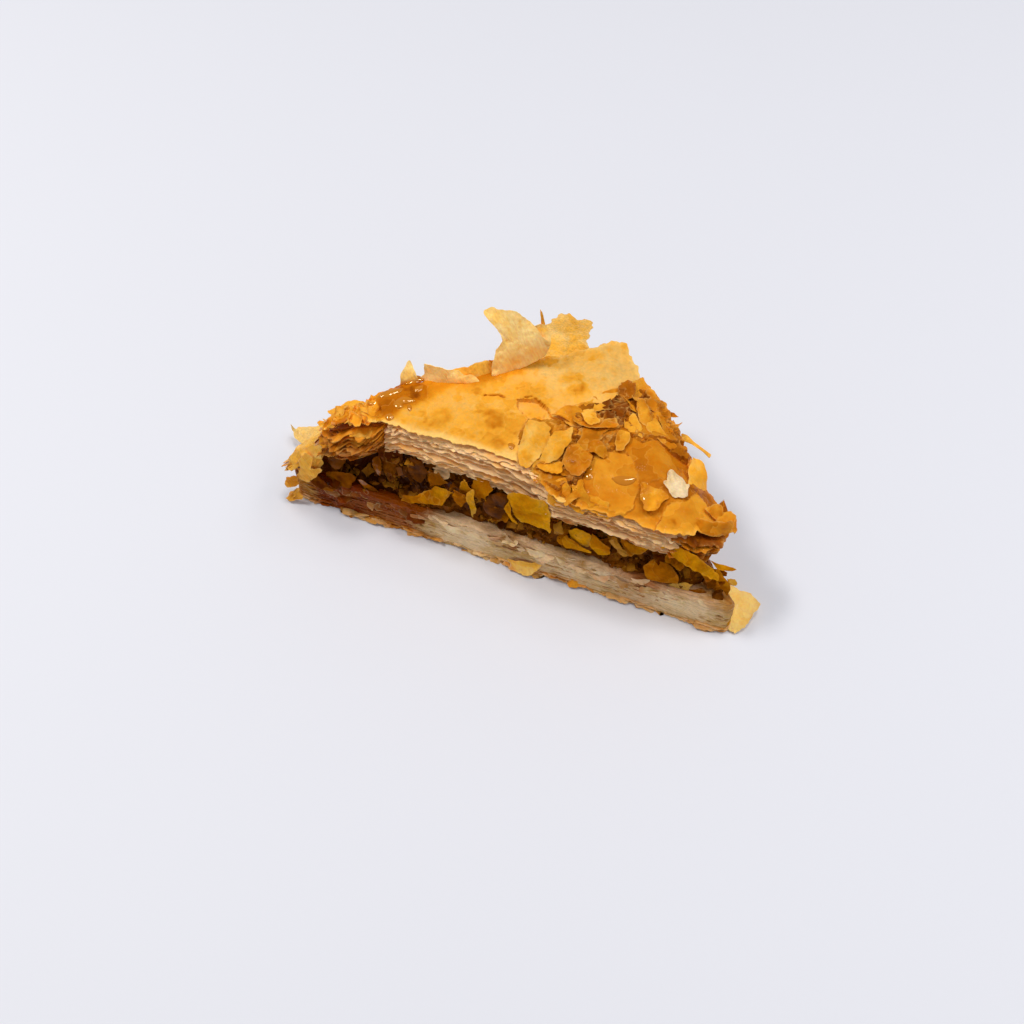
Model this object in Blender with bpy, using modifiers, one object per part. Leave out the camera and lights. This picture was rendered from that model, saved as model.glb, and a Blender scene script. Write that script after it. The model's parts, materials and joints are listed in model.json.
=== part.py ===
"""A triangular piece of baklava: pressed filo sheets, a nut filling, and a baked stack of sheets on top.

It lies on its flat underside. The long cut side runs along X and faces -Y, and the square corner of the
piece points to +Y. Sizes are in metres, and the origin is under the middle of the whole piece's box.
"""

import math

import bmesh
import bpy
from mathutils import Matrix, Vector

MM = 0.001

# Where the middle of the long cut side stands, so that the origin is under the middle of the whole box.
CUT_MIDDLE = Vector((0.86, -26.77, 0.0)) * MM

# The triangle that the slab is cut to, seen from above, counter-clockwise from its thin left tip. These
# and all later places are measured from CUT_MIDDLE.
LEFT_TIP = Vector((-62.0, 0.9)) * MM
RIGHT_TIP = Vector((62.0, -2.7)) * MM
BACK_CORNER = Vector((17.0, 48.3)) * MM
CORNERS = (LEFT_TIP, RIGHT_TIP, BACK_CORNER)

# Heights of the three layers at the middle of the cut side.
PRESSED_TOP = 12.0 * MM
FILLING_TOP = 25.0 * MM
CROWN = 38.3 * MM
GAP = 0.3 * MM  # left between layers that touch
LOOSE_GAP = 0.6 * MM  # between the nuts and the baked stack, which arches over them

# How far the layers rise or sink away from those heights.
TIP_CURL = 4.0 * MM  # the pressed sheets curl up at the left tip
LEFT_DROOP = 5.0 * MM  # the baked stack bends down over that tip
ARCH = 3.5 * MM  # and arches up over a hollow between the tip and the middle
HOLLOW = 6.5 * MM  # where the nuts lie this much lower
RIGHT_SAG = 2.6 * MM  # the crust is lower right of the middle, where its sheets are broken
TIP_SAG = 3.4 * MM  # and lower again at the right tip
CORNER_RISE = 0.8 * MM  # and lifted at the back corner
RIM_ROUNDING = 1.6 * MM

# How far the baked stack's outline stands in or out of the triangle.
WHOLE_SET_BACK = 3.8 * MM  # its front edge, left of the middle, where the crust is whole
CORNER_SET_BACK = 4.5 * MM  # its front edge at the right tip
BULGE = 2.6 * MM  # a sheet that hangs out over the right side

FRONT_STATIONS, RIGHT_STATIONS, LEFT_STATIONS, ARC_STATIONS = 34, 16, 24, 4
INNER_SHARES = (0.25, 0.45, 0.62, 0.78, 0.9)  # of the way out, for loops inside an uneven face
LEAF_THICKNESS = 0.8 * MM

CRUST_COLOUR = (0.78, 0.42, 0.10, 1.0)
PRESSED_COLOUR = (0.62, 0.48, 0.33, 1.0)
FILLING_COLOUR = (0.30, 0.15, 0.05, 1.0)


def smooth(value, start, end):
    """0 before start, 1 after end, with an even slope between them."""
    share = min(1.0, max(0.0, (value - start) / (end - start)))
    return share * share * (3 - 2 * share)


def hump(value, middle, reach):
    """1 at the middle, 0 from that reach on."""
    return 1 - smooth(abs(value - middle), 0, reach)


# --- plan of the slab -------------------------------------------------------------------------------


def middle_of_triangle():
    """The point that all three sides are equally far from."""
    opposite = [(CORNERS[index - 1] - CORNERS[index - 2]).length for index in range(3)]
    weighted = [corner * length for corner, length in zip(CORNERS, opposite)]
    return sum(weighted, Vector((0.0, 0.0))) / sum(opposite)


def left_normal(direction):
    return Vector((-direction.y, direction.x))


def set_in_corner(index, insets):
    """A corner of the triangle after its sides move inwards by insets (front, right, left)."""
    before, corner, after = CORNERS[index - 1], CORNERS[index], CORNERS[(index + 1) % 3]
    coming, going = (corner - before).normalized(), (after - corner).normalized()
    normals = Matrix((left_normal(coming), left_normal(going)))
    shift = normals.inverted() @ Vector((insets[index - 1], insets[index]))
    return corner + shift, coming, going


def rounded(index, insets, radius):
    """Stations round a corner, each a place and its outward direction."""
    corner, coming, going = set_in_corner(index, insets)
    turn = coming.angle(going)
    middle = corner - coming * radius * math.tan(turn / 2) + left_normal(coming) * radius
    arc = []
    for step in range(ARC_STATIONS):
        outward = -left_normal(coming)
        outward.rotate(Matrix.Rotation(turn * step / (ARC_STATIONS - 1), 2))
        arc.append((middle + outward * radius, outward))
    return arc


def stations(insets, radii):
    """Places and outward directions once round the plan, the same number for any insets."""
    arcs = [rounded(index, insets, radii[index]) for index in range(3)]
    counts = (FRONT_STATIONS, RIGHT_STATIONS, LEFT_STATIONS)
    found = []
    for index, count in enumerate(counts):
        start, outward = arcs[index][-1]
        end = arcs[(index + 1) % 3][0][0]
        found += arcs[index]
        found += [(start.lerp(end, step / count), outward) for step in range(1, count)]
    return found


def ripple(turn, level):
    """A wavy edge's shift outwards at a share of the way round, different at each level of the stack."""
    long_wave = math.sin(5 * turn + 1.3 * level)
    short_wave = math.sin(14 * turn + 1.9 * level + 1)
    return 0.6 * long_wave + 0.4 * short_wave


def as_cut(at):
    """A place on an even outline, unmoved."""
    return at


def as_baked(at):
    """A place on the baked stack's outline, moved to where the broken crust leaves it."""
    whole = smooth(at.x, -54 * MM, -28 * MM) * (1 - smooth(at.x, 3 * MM, 13 * MM))
    step = WHOLE_SET_BACK * whole + CORNER_SET_BACK * smooth(at.x, 38 * MM, 52 * MM)
    hangs_out = BULGE * hump(at.y, 20 * MM, 9 * MM) * smooth(at.x, 30 * MM, 36 * MM)
    return at + Vector((hangs_out, step * (1 - smooth(at.y, 4 * MM, 22 * MM))))


def ring(insets, radii, level, waviness, height, moved=as_cut):
    """One closed loop of points at a height that is a function of the place in plan."""
    places = stations(insets, radii)
    points = []
    for number, (place, outward) in enumerate(places):
        turn = 2 * math.pi * number / len(places)
        at = moved(place + outward * waviness * ripple(turn, level))
        points.append(Vector((at.x, at.y, height(at))))
    return points


def shrunk(outer, share, height):
    """The same loop drawn in towards the middle, for a top or an underside that isn't flat."""
    middle = middle_of_triangle()
    points = []
    for point in outer:
        at = middle.lerp(point.xy, share)
        points.append(Vector((at.x, at.y, height(at))))
    return points


# --- heights over the plan --------------------------------------------------------------------------


def table(_):
    return 0.0


def pressed_top(at):
    return PRESSED_TOP + TIP_CURL * (1 - smooth(at.x, -56 * MM, -49 * MM))


def filling_floor(_):
    return PRESSED_TOP + GAP


def crust_underside(at):
    droop = LEFT_DROOP * (1 - smooth(at.x, -48 * MM, -20 * MM))
    arch = ARCH * hump(at.x, -27 * MM, 14 * MM) * (1 - smooth(at.y, 8 * MM, 24 * MM))
    return FILLING_TOP + LOOSE_GAP - droop + arch


def filling_top(at):
    sunk = 1 - smooth(at.x, -42 * MM, -20 * MM)
    near_front = 1 - smooth(at.y, 6 * MM, 22 * MM)
    return crust_underside(at) - LOOSE_GAP - HOLLOW * sunk * near_front


def crust_top(at):
    """Height of the baked crust, without the rounding at its rim."""
    near_front = 1 - smooth(at.y, 2 * MM, 16 * MM)
    sag = RIGHT_SAG * smooth(at.x, 2 * MM, 12 * MM) * near_front
    sag += LEFT_DROOP * 0.9 * (1 - smooth(at.x, -52 * MM, -30 * MM))
    sag += TIP_SAG * smooth(at.x, 40 * MM, 54 * MM)
    lift = CORNER_RISE * (1 - smooth((at - BACK_CORNER).length, 0, 12 * MM))
    return CROWN - sag + lift


def rim_height(at):
    return crust_top(at) - RIM_ROUNDING


def shoulder_height(at):
    return crust_top(at) - 0.35 * RIM_ROUNDING


# --- meshes -----------------------------------------------------------------------------------------


def material(name, colour, roughness):
    made = bpy.data.materials.new(name)
    made.use_nodes = True
    shader = made.node_tree.nodes["Principled BSDF"]
    shader.inputs["Base Color"].default_value = colour
    shader.inputs["Roughness"].default_value = roughness
    shader.inputs["Metallic"].default_value = 0.0
    return made


def finished(name, mesh_builder, collection, surface):
    """Turns a bmesh into a named object in its place, with its normals facing out."""
    bmesh.ops.recalc_face_normals(mesh_builder, faces=mesh_builder.faces)
    bmesh.ops.translate(mesh_builder, vec=CUT_MIDDLE, verts=mesh_builder.verts)
    mesh = bpy.data.meshes.new(name)
    mesh_builder.to_mesh(mesh)
    mesh_builder.free()
    mesh.materials.append(surface)
    obj = bpy.data.objects.new(name, mesh)
    collection.objects.link(obj)
    return obj


def lofted(name, rings, collection, surface):
    """A closed solid through loops of equally many points, from its underside to its top."""
    builder = bmesh.new()
    loops = [[builder.verts.new(point) for point in points] for points in rings]
    for lower, upper in zip(loops, loops[1:]):
        for number, corner in enumerate(lower):
            following = (number + 1) % len(lower)
            builder.faces.new((corner, lower[following], upper[following], upper[number]))
    builder.faces.new(loops[0])
    builder.faces.new(loops[-1])
    obj = finished(name, builder, collection, surface)
    obj.data.shade_smooth()
    obj.data.set_sharp_from_angle(angle=math.radians(35))
    return obj


def leaf(name, rows, collection, surface):
    """A torn, curled end of a sheet: a coarse cage in millimetres, smoothed and given its thickness."""
    builder = bmesh.new()
    cage = [[builder.verts.new(Vector(point) * MM) for point in row] for row in rows]
    for lower, upper in zip(cage, cage[1:]):
        for column in range(len(lower) - 1):
            builder.faces.new((lower[column], lower[column + 1], upper[column + 1], upper[column]))
    obj = finished(name, builder, collection, surface)
    rounding = obj.modifiers.new("rounding", "SUBSURF")
    rounding.levels = rounding.render_levels = 2
    wall = obj.modifiers.new("wall", "SOLIDIFY")
    wall.thickness = LEAF_THICKNESS
    wall.offset = 0.0
    obj.hide_render = True
    obj.display_type = "WIRE"
    return obj


def joined(slab, leaves):
    """The slab with its torn leaves grown onto it, one closed solid."""
    for grown in leaves:
        union = slab.modifiers.new(grown.name, "BOOLEAN")
        union.operation = "UNION"
        union.object = grown


# --- the three layers -------------------------------------------------------------------------------


def stacked_sides(low, high, tops, insets, radii, waviness, moved=as_cut):
    """Loops up a stack's side, in groups of sheets that each lean in, so that the next one stands out.

    tops are the shares of the height at which the groups end. The line between two groups is wavy.
    """
    lean = 0.7 * MM
    loops = []
    start = 0.0
    for level, top in enumerate(tops):
        for share, lean_in in ((start, 0.0), (top - 0.03, lean)):
            wave = 0.04 if 0.0 < share < tops[-1] - 0.05 else 0.0

            def height(at, share=share, wave=wave, level=level):
                share += wave * math.sin(at.x / (4.1 * MM) + at.y / (5.3 * MM) + 2 * level)
                return low(at) + (high(at) - low(at)) * share

            leaning = tuple(inset + lean_in for inset in insets)
            loops.append(ring(leaning, radii, level, waviness, height, moved))
        start = top
    return loops


def pressed_bottom(collection, leaves):
    """The lower stack: sheets pressed together under the nuts, flat where they rest."""
    surface = material("pressed_filo", PRESSED_COLOUR, 0.75)
    radii = (1.5 * MM, 1.6 * MM, 4 * MM)
    edge = (0.3 * MM, 0.5 * MM, 0.4 * MM)
    sides = stacked_sides(table, pressed_top, (0.3, 0.52, 0.8, 1.0), edge, radii, 0.5 * MM)
    rim = ring((1.8 * MM, 1.6 * MM, 1.4 * MM), radii, 4, 0.5 * MM, pressed_top)
    top = [shrunk(rim, share, pressed_top) for share in (0.93, 0.87, 0.4)]
    slab = lofted("bottom_pastry", [*sides, rim, *top], collection, surface)
    left_leaf = leaf(
        "left_leaf",
        [
            [(-40.0, 5.5, 2.6), (-43.5, 4.2, 2.4), (-47.0, 3.0, 2.2)],
            [(-52.0, 12.0, 2.8), (-55.0, 11.0, 2.6), (-58.0, 9.0, 2.4)],
            [(-57.0, 21.0, 4.4), (-60.0, 19.0, 3.2), (-62.0, 16.0, 3.0)],
            [(-63.5, 21.0, 5.2), (-65.5, 19.5, 4.6), (-66.5, 17.0, 4.4)],
        ],
        leaves,
        surface,
    )
    right_leaf = leaf(
        "right_leaf",
        [
            [(44.0, 11.0, 1.6), (47.0, 6.0, 1.5), (49.0, 2.0, 1.5)],
            [(56.5, 10.0, 1.5), (59.0, 5.5, 1.3), (60.0, -0.8, 1.1)],
            [(61.0, 9.5, 1.8), (65.0, 5.0, 1.3), (63.5, -1.0, 0.9)],
        ],
        leaves,
        surface,
    )
    joined(slab, (left_leaf, right_leaf))
    return slab


def nut_filling(collection):
    """Nuts in syrup, sunk behind the sheets' edges and lumpy where they show."""
    surface = material("nuts_in_syrup", FILLING_COLOUR, 0.35)
    radii = (2.5 * MM, 4 * MM, 4 * MM)
    nut = 7.0 * MM  # from one lump to the next
    loops = [ring((2.4 * MM, 3.0 * MM, 2.6 * MM), radii, 0, 0.5 * MM, filling_floor)]
    courses = 5
    for course in range(1, courses):

        def height(at, share=course / courses):
            return filling_floor(at) + (filling_top(at) - filling_floor(at)) * share

        def lumpy(at, course=course):
            along = 2 * math.pi * at.x / nut
            lump = math.sin(along + 1.7 * course) * math.sin(0.37 * along + 1.1 * course)
            return at + Vector((0.0, 0.9 * MM * lump))

        hollowed = 1.1 * MM * math.sin(math.pi * course / courses)
        insets = (3.9 * MM + hollowed, 3.0 * MM + hollowed, 3.0 * MM + hollowed)
        loops.append(ring(insets, radii, course, 0.5 * MM, height, lumpy))
    brim = ring((5.4 * MM, 3.6 * MM, 3.4 * MM), radii, 6, 0.5 * MM, filling_top)
    loops += [brim, *(shrunk(brim, share, filling_top) for share in reversed(INNER_SHARES))]
    return lofted("nut_filling", loops, collection, surface)


def baked_top(collection, leaves):
    """The upper stack: a domed golden crust over wavy sheets, with the crust's torn ends curled up."""
    surface = material("golden_crust", CRUST_COLOUR, 0.45)
    radii = (4 * MM, 3.5 * MM, 5 * MM)
    edge = (1.6 * MM, 0.9 * MM, 0.8 * MM)
    groups = (0.24, 0.45, 0.74, 1.0)
    sides = stacked_sides(crust_underside, rim_height, groups, edge, radii, 0.7 * MM, as_baked)
    rim = sides[-1]
    under = [shrunk(sides[0], share, crust_underside) for share in INNER_SHARES]
    shoulder = shrunk(rim, 0.95, shoulder_height)
    top = [shrunk(rim, share, crust_top) for share in (0.85, 0.68, 0.5, 0.3, 0.12)]
    slab = lofted("top_pastry", [*under, *sides, shoulder, *top], collection, surface)
    standing_leaf = leaf(
        "standing_leaf",
        [
            [(-11.8, 24.6, 37.0), (-8.6, 27.6, 37.0), (-4.6, 32.4, 37.0), (-1.2, 36.0, 36.5)],
            [(-11.3, 27.0, 43.0), (-8.5, 29.5, 43.5), (-4.5, 33.5, 43.0), (-0.8, 36.8, 42.0)],
            [(-12.6, 31.0, 48.0), (-10.0, 31.5, 49.0), (-5.0, 34.8, 48.0), (0.0, 36.5, 46.0)],
            [(-16.2, 34.4, 52.5), (-12.0, 35.4, 54.5), (-7.0, 36.8, 53.5), (-2.0, 38.0, 49.5)],
        ],
        leaves,
        surface,
    )
    edge_flap = leaf(
        "edge_flap",
        [
            [(-31.0, 15.5, 36.0), (-24.5, 18.8, 36.5), (-18.0, 22.4, 36.8), (-12.0, 24.6, 37.0)],
            [(-29.8, 18.4, 41.0), (-23.0, 21.4, 40.0), (-17.5, 24.2, 39.6), (-12.4, 26.2, 39.4)],
            [(-28.0, 21.6, 45.8), (-22.5, 23.6, 42.6), (-17.0, 26.0, 41.0), (-12.0, 28.2, 40.6)],
        ],
        leaves,
        surface,
    )
    hanging_leaf = leaf(
        "hanging_leaf",
        [
            [(-4.0, 31.5, 33.6), (2.0, 34.5, 33.8), (8.0, 37.5, 33.8)],
            [(-5.0, 40.0, 35.0), (1.0, 43.0, 35.6), (7.0, 45.0, 35.0)],
            [(-5.0, 47.0, 35.0), (0.5, 50.0, 35.2), (6.5, 49.0, 34.0)],
            [(-4.6, 53.0, 33.0), (0.0, 56.5, 32.6), (5.0, 56.0, 31.6)],
        ],
        leaves,
        surface,
    )
    joined(slab, (standing_leaf, edge_flap, hanging_leaf))
    return slab


# --- assembly ---------------------------------------------------------------------------------------


def cleared():
    for obj in list(bpy.data.objects):
        bpy.data.objects.remove(obj)


def new_collection(name):
    made = bpy.data.collections.new(name)
    bpy.context.scene.collection.children.link(made)
    return made


def main():
    cleared()
    baklava = new_collection("baklava_piece")
    leaves = new_collection("torn_leaves")
    leaves.hide_render = True
    pressed_bottom(baklava, leaves)
    nut_filling(baklava)
    baked_top(baklava, leaves)


main()
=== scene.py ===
"""The looks of a triangular piece of baklava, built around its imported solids.

Shapes are worked out in millimetres from the middle of the long cut side on the table, which runs along X
and faces -Y. A finished mesh is in metres in the frame of its solids.
"""

import json
import logging
import math
from collections.abc import Callable, Sequence
from dataclasses import dataclass, field
from enum import Enum

import bpy
import numpy as np
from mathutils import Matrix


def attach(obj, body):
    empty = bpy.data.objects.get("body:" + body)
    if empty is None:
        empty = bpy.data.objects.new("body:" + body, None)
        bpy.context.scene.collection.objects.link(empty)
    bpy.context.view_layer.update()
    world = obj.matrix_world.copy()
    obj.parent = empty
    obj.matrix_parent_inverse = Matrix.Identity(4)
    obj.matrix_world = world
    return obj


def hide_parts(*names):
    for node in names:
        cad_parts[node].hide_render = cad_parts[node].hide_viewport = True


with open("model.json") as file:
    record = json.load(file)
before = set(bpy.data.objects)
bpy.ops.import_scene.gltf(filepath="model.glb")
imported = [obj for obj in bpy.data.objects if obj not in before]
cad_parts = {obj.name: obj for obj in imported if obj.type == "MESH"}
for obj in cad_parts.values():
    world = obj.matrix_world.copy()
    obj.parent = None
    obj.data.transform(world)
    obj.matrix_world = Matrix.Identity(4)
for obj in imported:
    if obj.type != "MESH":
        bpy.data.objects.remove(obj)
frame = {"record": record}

log = logging.getLogger("baklava")
MM = 0.001
CRISP = 0.9  # the angle between two faces, in radians, from which their edge is drawn sharp
# Besides baking, wetting and tone, the rim state lightens a point towards pale: a painted highlight along
# thin edges, pale foam specks on the crust's front, and on the filling only how thickly nuts lie
STATES = ("bake", "wet", "tone", "rim")
Array = np.ndarray
Heights = Callable[[Array], Array]
Colour = tuple[float, float, float]
Corner = tuple[float, float, float]
Place = tuple[float, float]


# --- small sums over many points --------------------------------------------------------------------


def eased(value: Array, start: float, end: float) -> Array:
    """0 before start, 1 after end, with an even slope between them."""
    share = np.clip((np.asarray(value, float) - start) / (end - start), 0.0, 1.0)
    return share * share * (3 - 2 * share)


def hump(value: Array, middle: float, reach: float) -> Array:
    """1 at the middle, 0 from that reach on."""
    return 1 - eased(np.abs(np.asarray(value, float) - middle), 0, reach)


def unit(vectors: Array) -> Array:
    """The same directions at length 1."""
    return vectors / np.maximum(np.linalg.norm(vectors, axis=-1, keepdims=True), 1e-9)


def enclosed(places: Array, outline: Array) -> Array:
    """Which places in plan lie inside a closed outline.

    Args:
        places: (n, 2) places.
        outline: (m, 2) corners of the outline, in order.

    Returns:
        n truth values.
    """
    inside = np.zeros(len(places), bool)
    for (x0, y0), (x1, y1) in zip(outline, np.roll(outline, -1, axis=0)):
        if y0 == y1:
            continue
        between = (places[:, 1] < y0) != (places[:, 1] < y1)
        crossing = x0 + (places[:, 1] - y0) * (x1 - x0) / (y1 - y0)
        inside ^= between & (places[:, 0] < crossing)
    return inside


def distance_to(places: Array, line: Array, closed: bool = False) -> Array:
    """How far each place in plan is from a line of straight stretches.

    Args:
        places: (n, 2) places.
        line: (m, 2) points of the line.
        closed: whether its end joins its start.

    Returns:
        n distances.
    """
    nearest = np.full(len(places), np.inf)
    ends = np.roll(line, -1, axis=0) if closed else line[1:]
    for start, end in zip(line, ends):
        along = end - start
        share = np.clip((places - start) @ along / max(along @ along, 1e-9), 0, 1)
        gap = places - start - share[:, None] * along
        nearest = np.minimum(nearest, np.einsum("ij,ij->i", gap, gap))
    return np.sqrt(nearest)


def lengths_along(line: Array) -> Array:
    """How far along a line of straight stretches each of its points is."""
    return np.append(0.0, np.cumsum(np.linalg.norm(np.diff(line, axis=0), axis=1)))


def placed_along(line: Array, lengths: Array, stations: Array) -> Array:
    """The places at some distances along a line, whose own points are at the given lengths."""
    columns = [np.interp(stations, lengths, line[:, axis]) for axis in range(line.shape[1])]
    return np.stack(columns, 1)


@dataclass(frozen=True)
class Grain:
    """Smooth unevenness over space, the same on every run for the same seed."""

    seed: int

    def at(self, places: Array, size: float) -> Array:
        """Lumps of one size.

        Args:
            places: (n, 1 to 3) places.
            size: how wide a lump is.

        Returns:
            n values between -1 and 1.
        """
        places = np.asarray(places, float)
        scaled = np.zeros((len(places), 3))
        scaled[:, : places.shape[1]] = places / size
        cell = np.floor(scaled).astype(np.int64)
        share = scaled - cell
        share = share**3 * (share * (share * 6 - 15) + 10)
        total = np.zeros(len(places))
        for corner in np.ndindex(2, 2, 2):
            weight = np.prod(np.where(corner, share, 1 - share), axis=1)
            total += weight * self.pick(cell + np.array(corner))
        return 2 * total - 1

    def pick(self, cell: Array) -> Array:
        """A steady random number from 0 to 1 for each whole-numbered (n, 3) cell."""
        mixed = (cell[:, 0] * 73856093) ^ (cell[:, 1] * 19349663) ^ (cell[:, 2] * 83492791)
        mixed = (mixed ^ (self.seed * 2654435761)) & 0xFFFFFFFF
        mixed = ((mixed ^ (mixed >> 13)) * 1274126177) & 0xFFFFFFFF
        return ((mixed ^ (mixed >> 16)) & 0xFFFF) / 65535

    def rough(self, places: Array, size: float, octaves: int = 3) -> Array:
        """Lumps with finer lumps on them, between about -1 and 1."""
        total = sum(self.at(places, size / 2**step) / 2**step for step in range(octaves))
        return total / (2 - 2 ** (1 - octaves))


def level_at(height: float) -> Heights:
    """A level surface, as its height over places in plan."""
    return lambda places: np.full(len(places), height)


# --- meshes in the making ---------------------------------------------------------------------------


@dataclass
class Skin:
    """A closed surface: its points, its triangles, and how it is baked, wetted and toned at each point."""

    points: Array
    faces: Array
    state: dict[str, Array] = field(default_factory=dict)

    def __post_init__(self) -> None:
        """Fills in the states that weren't given, and turns the surface the right way out."""
        for name in STATES:
            given = self.state.get(name, 0.0)
            self.state[name] = np.broadcast_to(np.asarray(given, float), (len(self.points),)).copy()
        corners = self.points[self.faces]
        if np.einsum("ij,ij->i", corners[:, 0], np.cross(corners[:, 1], corners[:, 2])).sum() < 0:
            self.faces = self.faces[:, ::-1]


def joined(skins: Sequence[Skin]) -> Skin:
    """Several surfaces as one.

    Args:
        skins: the surfaces.

    Returns:
        One surface, with the states of all of them.
    """
    starts = np.cumsum([0] + [len(skin.points) for skin in skins[:-1]])
    return Skin(
        np.concatenate([skin.points for skin in skins]),
        np.concatenate([skin.faces + start for skin, start in zip(skins, starts)]),
        {name: np.concatenate([skin.state[name] for skin in skins]) for name in STATES},
    )


def grid_faces(rows: int, columns: int, around: bool = False) -> Array:
    """Triangles over a grid of points, which are counted row by row.

    Args:
        rows: how many rows of points.
        columns: how many points in a row.
        around: whether each row's end joins its start.

    Returns:
        The triangles, as numbers of points.
    """
    across = np.arange(columns if around else columns - 1)
    row, column = (part.ravel() for part in np.meshgrid(np.arange(rows - 1), across, indexing="ij"))
    following = (column + 1) % columns
    a, b = row * columns + column, row * columns + following
    c, d = b + columns, a + columns
    return np.concatenate([np.stack([a, b, c], 1), np.stack([a, c, d], 1)])


def open_edges(faces: Array) -> Array:
    """The edges of an open surface, in the direction that its triangles give them.

    Args:
        faces: the surface's triangles.

    Returns:
        The two ends of each edge, as numbers of points.
    """
    ends = np.concatenate([faces[:, [0, 1]], faces[:, [1, 2]], faces[:, [2, 0]]]).astype(np.int64)
    keys = ends.min(axis=1) * (ends.max() + 1) + ends.max(axis=1)
    _, first, count = np.unique(keys, return_index=True, return_counts=True)
    return ends[first[count == 1]]


def between(upper: Array, lower: Array, faces: Array, state: dict[str, Array]) -> Skin:
    """A sheet between two like surfaces, closed at its edges.

    Args:
        upper: points of one face.
        lower: the points behind them.
        faces: the triangles of the upper face.
        state: how the sheet is baked, wetted and toned at each upper point.

    Returns:
        The closed sheet.
    """
    count = len(upper)
    start, end = open_edges(faces).T
    rim = [np.stack([end, start, start + count], 1), np.stack([end, start + count, end + count], 1)]
    both = {name: np.concatenate([np.broadcast_to(v, (count,))] * 2) for name, v in state.items()}
    return Skin(
        np.concatenate([upper, lower]), np.concatenate([faces, faces[:, ::-1] + count, *rim]), both
    )


def normals_of(points: Array, faces: Array) -> Array:
    """The direction that the surface faces at each point.

    Args:
        points: the surface's points.
        faces: its triangles.

    Returns:
        One direction of length 1 for each point.
    """
    corners = points[faces]
    flat = np.cross(corners[:, 1] - corners[:, 0], corners[:, 2] - corners[:, 0])
    summed = np.stack(
        [np.bincount(faces.ravel(), np.repeat(flat[:, axis], 3), len(points)) for axis in range(3)], 1
    )
    return unit(summed)


def thickened(points: Array, faces: Array, thickness: float, state: dict[str, Array]) -> Skin:
    """An open surface given a thickness, half of it on each side."""
    half = normals_of(points, faces) * thickness / 2
    return between(points + half, points - half, faces, state)


def lofted(rows: Sequence[Array], state: dict[str, Array]) -> Skin:
    """A closed form through loops of equally many points, with a point in the middle of each end.

    Args:
        rows: the loops, from the underside to the top.
        state: how the form is baked, wetted and toned at each point of the loops.

    Returns:
        The closed form.
    """
    columns = len(rows[0])
    points = np.concatenate(rows)
    ends = np.stack([rows[0].mean(axis=0), rows[-1].mean(axis=0)])
    column = np.arange(columns)
    following = (column + 1) % columns
    last, low, high = (len(rows) - 1) * columns, len(points), len(points) + 1
    caps = [
        np.stack([following, column, np.full(columns, low)], 1),
        np.stack([last + column, last + following, np.full(columns, high)], 1),
    ]
    full = {
        name: np.concatenate([np.broadcast_to(value, (len(points),)), [0.5, 0.5]])
        for name, value in state.items()
    }
    return Skin(
        np.concatenate([points, ends]),
        np.concatenate([grid_faces(len(rows), columns, around=True), *caps]),
        full,
    )


def filled(outline: Array, spacing: float) -> tuple[Array, Array]:
    """An even mesh inside an outline, drawn to it at its edge.

    Args:
        outline: (m, 2) points of the outline, closer together than the spacing.
        spacing: the size of the mesh's squares.

    Returns:
        The places in plan, and the triangles.
    """
    low, high = outline.min(axis=0) - spacing, outline.max(axis=0) + spacing
    x, y = (np.arange(low[axis], high[axis], spacing) for axis in range(2))
    places = np.stack(np.meshgrid(x, y, indexing="ij"), -1).reshape(-1, 2)
    inside = enclosed(places, outline).reshape(len(x), len(y))
    cells = inside[:-1, :-1] & inside[1:, :-1] & inside[:-1, 1:] & inside[1:, 1:]
    for _ in range(3):
        a, b, c, d = cells[:-1, :-1], cells[1:, :-1], cells[:-1, 1:], cells[1:, 1:]
        cells[:-1, :-1] &= ~(a & d & ~b & ~c)
        cells[1:, :-1] &= ~(b & c & ~a & ~d)
    column, row = np.nonzero(cells)
    first = column * len(y) + row
    beside, above, across = first + len(y), first + 1, first + len(y) + 1
    faces = np.concatenate([np.stack([first, beside, across], 1), np.stack([first, across, above], 1)])
    used, faces = np.unique(faces, return_inverse=True)
    places, faces = places[used], faces.reshape(-1, 3)
    edge = np.unique(open_edges(faces))
    for part in np.array_split(edge, 12):
        gaps = np.linalg.norm(places[part][:, None] - outline[None], axis=2)
        places[part] += 0.9 * (outline[gaps.argmin(axis=1)] - places[part])
    return places, faces


# --- torn sheets ------------------------------------------------------------------------------------


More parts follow.
